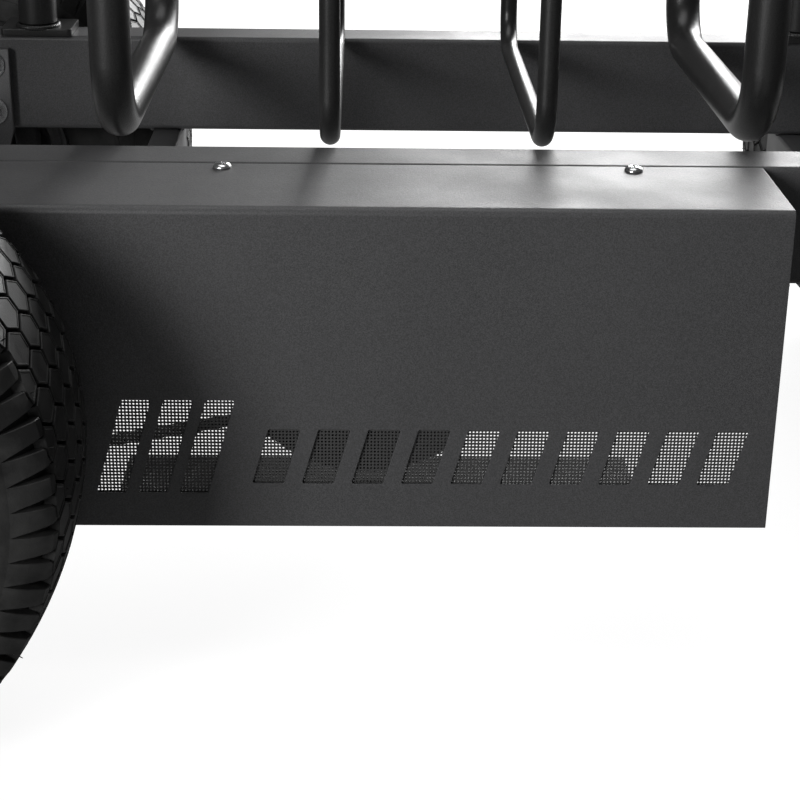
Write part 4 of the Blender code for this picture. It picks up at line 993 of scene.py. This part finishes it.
# The load rack: a bent tube hoop stands on each rail on welded feet, and four bars hang between the hoops,
# two thick ones at the ends and two slim ones between them.
HOOP_RADIUS, HOOP_TOP = 16 * MM, 440 * MM
HOOP_REAR_X, HOOP_FRONT_X = -380 * MM, 270 * MM
HOOPS = {"near": (-143.4 * MM, NEAR_RAIL_Y), "far": (245 * MM, FAR_RAIL_Y)}
FOOT_LOW, FOOT_SHEET = RAIL_TOP + 0.3 * MM, 6 * MM
# The rack is powder coated black as the frame is, but glossier. Its colour is made darker than the frame's:
# painted shade for the dark undersides of its tubes.
gloss_black_painted_shade = finish(
    "gloss_black_painted_shade",
    powder_grain,
    {"Dark": (0.008, 0.008, 0.008, 1), "Light": (0.02, 0.02, 0.02, 1), "Satin": 0.28, "Matt": 0.4},
    specular=0.4,
)


def bent_path(corners, radius, steps=14):
    """The corners of a bent tube, each inner corner replaced by an arc of the bend radius."""
    path = [Vector(corners[0])]
    for neighbours in zip(corners, corners[1:], corners[2:]):
        corner, arrive, leave, half = bend_at(*neighbours)
        centre = corner + (arrive + leave).normalized() * radius / math.sin(half)
        start = corner + arrive * radius / math.tan(half) - centre
        normal = arrive.cross(leave).normalized()
        for step in range(steps + 1):
            turn = Matrix.Rotation(-(math.pi - 2 * half) * step / steps, 3, normal)
            path.append(centre + turn @ start)
    path.append(Vector(corners[-1]))
    return path


def bent_tube(name, path, radius, normal, sides=32):
    """A round tube along a flat path, its ends domed."""
    normal, dome, last = Vector(normal), 0.25 * radius, len(path) - 1
    places = []
    for i, centre in enumerate(path):
        along = (path[min(i + 1, last)] - path[max(i - 1, 0)]).normalized()
        places.append((centre, along, radius))
    start, end = places[0], places[-1]
    places[0] = (start[0] + start[1] * dome, start[1], radius)
    places[-1] = (end[0] - end[1] * dome, end[1], radius)
    places.insert(0, (start[0], start[1], radius - dome))
    places.append((end[0], end[1], radius - dome))

    def build(grid):
        rings = []
        for centre, along, size in places:
            rings.append(ring_of(grid, centre, normal, along.cross(normal), size, sides))
        skinned(grid, rings)

    return closed(name, build)


def ring_points(centre, axis, radius, count=48):
    """The points of a circle about an axis."""
    turns = [math.tau * i / count for i in range(count)]
    flat = [Vector((radius * math.cos(a), radius * math.sin(a), 0)) for a in turns]
    return [Vector(centre) + TURNS[axis] @ point for point in flat]


welds = []
for side, (y, rail_y) in HOOPS.items():
    foot_top = FOOT_LOW + FOOT_SHEET
    corners = [(HOOP_REAR_X, y, foot_top), (HOOP_REAR_X, y, HOOP_TOP), (HOOP_FRONT_X, y, HOOP_TOP)]
    corners.append((HOOP_FRONT_X, y, foot_top))
    parts = [bent_tube("hoop", bent_path(corners, 60 * MM), HOOP_RADIUS, (0, 1, 0))]
    near_edge = min(rail_y - RAIL_WIDTH / 2, y - HOOP_RADIUS)
    far_edge = max(rail_y + RAIL_WIDTH / 2, y + HOOP_RADIUS)
    for x in (HOOP_REAR_X, HOOP_FRONT_X):
        foot = rounded_rectangle(60 * MM, far_edge - near_edge, 4 * MM)
        middle = (x, (near_edge + far_edge) / 2, FOOT_LOW + FOOT_SHEET / 2)
        parts.append(cut_plate("foot", [foot], "Z", FOOT_SHEET, middle, 0.8 * MM))
        seam = ring_points((x, y, foot_top + 0.8 * MM), "Z", HOOP_RADIUS + 0.8 * MM)
        welds.append(bead(seam, 2 * MM))
    hoop = merged("hoop", parts)
    fit(f"{side}_hoop_tube", hoop, "chassis", "powder_black", gloss_black_painted_shade, f"{side}_rack_hoop")
TUBE_FLAT = math.cos(math.pi / 10)
for name, node, x, radius, bend in (
    ("rear_thick_bar", "rack_end_bar_rear", -270.8 * MM, 14 * MM, 45 * MM),
    ("slim_bar_1", "rack_bar_1", -125.8 * MM, 7 * MM, 30 * MM),
    ("slim_bar_2", "rack_bar_2", 19.2 * MM, 7 * MM, 30 * MM),
    ("front_thick_bar", "rack_end_bar_front", 164.2 * MM, 14 * MM, 45 * MM),
):
    inset = (HOOP_RADIUS + radius) * TUBE_FLAT + 0.3 * MM
    run = 307 * MM + radius
    near_y, far_y = HOOPS["near"][0] + inset, HOOPS["far"][0] - inset
    top = HOOP_TOP + HOOP_RADIUS
    corners = [(x, near_y, top), (x, near_y, run), (x, far_y, run), (x, far_y, top)]
    bar = bent_tube(name, bent_path(corners, bend), radius, (1, 0, 0))
    fit(name, bar, "chassis", "powder_black", gloss_black_painted_shade, node)
    for y, hoop_y in ((near_y, HOOPS["near"][0]), (far_y, HOOPS["far"][0])):
        seam_y = (y * HOOP_RADIUS + hoop_y * radius) / (HOOP_RADIUS + radius)
        for way in (-1, 1):
            seam_x = x + way * 0.45 * radius
            line = [(seam_x, seam_y, HOOP_TOP - 9 * MM), (seam_x, seam_y, HOOP_TOP + 9 * MM)]
            welds.append(bead(line, 1.6 * MM, cyclic=False))
fit("rack_welds", merged("rack_welds", welds), "chassis", "powder_black", gloss_black_painted_shade, sharp=80)

# Sockets of steel tube are welded to the rails' ends. A nut welded to each one's outer side takes the screw
# of a lobed clamp knob.
SOCKET_X, CLAMP_Z, POST_RADIUS = 560 * MM, 400 * MM, 21 * MM
SOCKET_INNER, SOCKET_OUTER, SOCKET_HEIGHT = 21.8 * MM, 25 * MM, 120 * MM
KNOB_LOW, THREAD_PITCH, THREAD_TURNS = SOCKET_OUTER - POST_RADIUS + 6 * MM, 1.15 * MM, 7
nut = in_mm([(5.6, 0), (10.4, 0), (10.4, 3.9), (9.6, 4.6), (6.2, 4.6), (5.6, 4)])
lobes = [(0, 18), (12, 18), (15.4, 17.2), (18, 15.2), (19.6, 12), (20, 8), (19.6, 3), (18.6, 0.8), (16.4, 0)]
knob = [(r * MM, KNOB_LOW + h * MM) for r, h in lobes + [(8, 0), (7.4, -0.8)]]
knob.append((4.6 * MM, KNOB_LOW - 0.8 * MM))
for i in range(THREAD_TURNS):
    h = KNOB_LOW - 1.2 * MM - i * THREAD_PITCH
    knob += [(5 * MM, h), (4.3 * MM, h - 0.55 * MM)]
knob += [(3.6 * MM, 0.3 * MM), (0, 0.3 * MM)]


def lobed(radius, height, turn):
    return 1.9 * MM * (math.cos(6 * turn) - 1) if radius > 14 * MM else 0


welds = []
for end, way in (("rear", -1), ("front", 1)):
    out = "X" if way > 0 else "-X"
    for side, (y, inner) in RAILS.items():
        x = way * SOCKET_X
        soft = 0.7 * MM
        top = SOCKET_HEIGHT
        profile = [(SOCKET_OUTER - soft, top), (SOCKET_OUTER, top - soft), (SOCKET_OUTER, 0)]
        profile += [(SOCKET_INNER, 0), (SOCKET_INNER, top - soft), (SOCKET_INNER + soft, top)]
        parts = [lathe("socket", profile, "Z", (x, y, FOOT_LOW), 64)]
        root = (x + way * (SOCKET_OUTER - 0.4 * MM), y, CLAMP_Z)
        parts.append(lathe("nut", nut, out, root, 48, six_flats(9 * MM)))
        name = f"{end}_{side}_socket_tube"
        fit(name, merged(name, parts), "chassis", "powder_black", powder_black, f"{end}_{side}_socket")
        welds.append(bead(ring_points((x, y, FOOT_LOW + 0.6 * MM), "Z", SOCKET_OUTER + 0.4 * MM, 64), 2 * MM))
        root = (x + way * (SOCKET_OUTER - 0.2 * MM), y, CLAMP_Z)
        welds.append(bead(ring_points(root, out, 10.2 * MM, 40), 1.1 * MM))
        mesh = lathe("knob", knob, out, (x + way * POST_RADIUS, y, CLAMP_Z), 72, lobed)
        clamp = f"{end}_{side}_clamp"
        fit(f"{end}_{side}_star_knob", mesh, clamp, "knob_plastic", knob_plastic, f"{clamp}_knob")
fit("socket_welds", merged("socket_welds", welds), "chassis", "powder_black", powder_black, sharp=80)

# Each push handle is one bent tube whose posts slide in the sockets, with a brace welded across. Ribbed
# rubber grips are pulled over the posts.
HANDLE_TOP, BRACE_Z, BRACE_RADIUS = 980 * MM, 620 * MM, 16 * MM
GRIP_LOW, GRIP_LENGTH, GRIP_OUTER, GRIP_RIBS = 680 * MM, 180 * MM, 25.9 * MM, 36
grip_tones = {"Dark": (0.02, 0.02, 0.02, 1), "Light": (0.038, 0.038, 0.038, 1), "Grain": 1900.0}
grip_rubber = finish("grip_rubber", rubber_grain, {**grip_tones, "Satin": 0.6, "Matt": 0.8}, specular=0.35)
inside, valley, crest = POST_RADIUS + 0.2 * MM, GRIP_OUTER - 1.5 * MM, GRIP_OUTER - 0.5 * MM
grip_end = [(inside, 0), (GRIP_OUTER - 1.6 * MM, 0), (GRIP_OUTER - 0.4 * MM, 1 * MM), (GRIP_OUTER, 2.4 * MM)]
sleeve = grip_end + [(GRIP_OUTER, 9 * MM), (valley, 10 * MM)]
rib = (GRIP_LENGTH - 22 * MM) / GRIP_RIBS
for i in range(GRIP_RIBS):
    h = 11 * MM + rib * i
    sleeve += [(valley, h), (crest, h + 0.25 * rib), (crest, h + 0.6 * rib), (valley, h + 0.85 * rib)]
sleeve += [(valley, GRIP_LENGTH - 10 * MM), (GRIP_OUTER, GRIP_LENGTH - 9 * MM)]
sleeve += [(r, GRIP_LENGTH - h) for r, h in grip_end[::-1]]
for end, way in (("rear", -1), ("front", 1)):
    x = way * SOCKET_X
    corners = [(x, NEAR_RAIL_Y, FOOT_LOW), (x, NEAR_RAIL_Y, HANDLE_TOP)]
    corners += [(x, FAR_RAIL_Y, HANDLE_TOP), (x, FAR_RAIL_Y, FOOT_LOW)]
    parts = [bent_tube("handle", bent_path(corners, 90 * MM, 20), POST_RADIUS, (1, 0, 0), 40)]
    brace = [Vector((x, NEAR_RAIL_Y + 8 * MM, BRACE_Z)), Vector((x, FAR_RAIL_Y - 8 * MM, BRACE_Z))]
    parts.append(bent_tube("brace", brace, BRACE_RADIUS, (1, 0, 0)))
    body = f"{end}_handle"
    bow = merged("handle", parts)
    fit(f"{end}_push_handle", bow, body, "powder_black", powder_black, f"{end}_handle_frame")
    welds = []
    for y, inner in RAILS.values():
        seam = []
        for i in range(48):
            turn = math.tau * i / 48
            dx, dz = (BRACE_RADIUS + 0.6 * MM) * math.cos(turn), (BRACE_RADIUS + 0.6 * MM) * math.sin(turn)
            depth = math.sqrt((POST_RADIUS + 0.6 * MM) ** 2 - dx * dx)
            seam.append((x + dx, y + inner * depth, BRACE_Z + dz))
        welds.append(bead(seam, 1.8 * MM))
    fit(f"{end}_brace_welds", merged("welds", welds), body, "powder_black", powder_black, sharp=80)
    for side, (y, inner) in RAILS.items():
        mesh = lathe("grip", sleeve, "Z", (x, y, GRIP_LOW), 56)
        fit(f"{end}_{side}_ribbed_grip", mesh, body, "grip_rubber", grip_rubber, f"{end}_{side}_grip")

# A zinc plated ring, its joint welded, hangs in the lug on the front end member. The wire is a trace thicker
# at the joint, where the weld was ground flush.
ring_low, ring_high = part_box("tow_ring")
RING_WIRE, RING_STEPS, WIRE_STEPS = 5 * MM, 72, 20
ring_centre = (ring_low + ring_high) / 2
ring_radius = (ring_high.z - ring_low.z) / 2 - RING_WIRE


def torus(grid):
    loops = []
    for i in range(RING_STEPS):
        turn = math.tau * i / RING_STEPS
        wire_radius = RING_WIRE * (0.985 if i > 1 else 1.0)
        loop = []
        for k in range(WIRE_STEPS):
            a = math.tau * k / WIRE_STEPS
            r = ring_radius + wire_radius * math.cos(a)
            spot = Vector((wire_radius * math.sin(a), r * math.cos(turn), r * math.sin(turn)))
            loop.append(grid.verts.new(spot + ring_centre))
        loops.append(loop)
    skinned(grid, loops, looped=True)


ring_mesh = closed("forged_tow_ring", torus)
fit("forged_tow_ring", ring_mesh, "tow_ring_body", "zinc_steel", zinc_plate, "tow_ring")
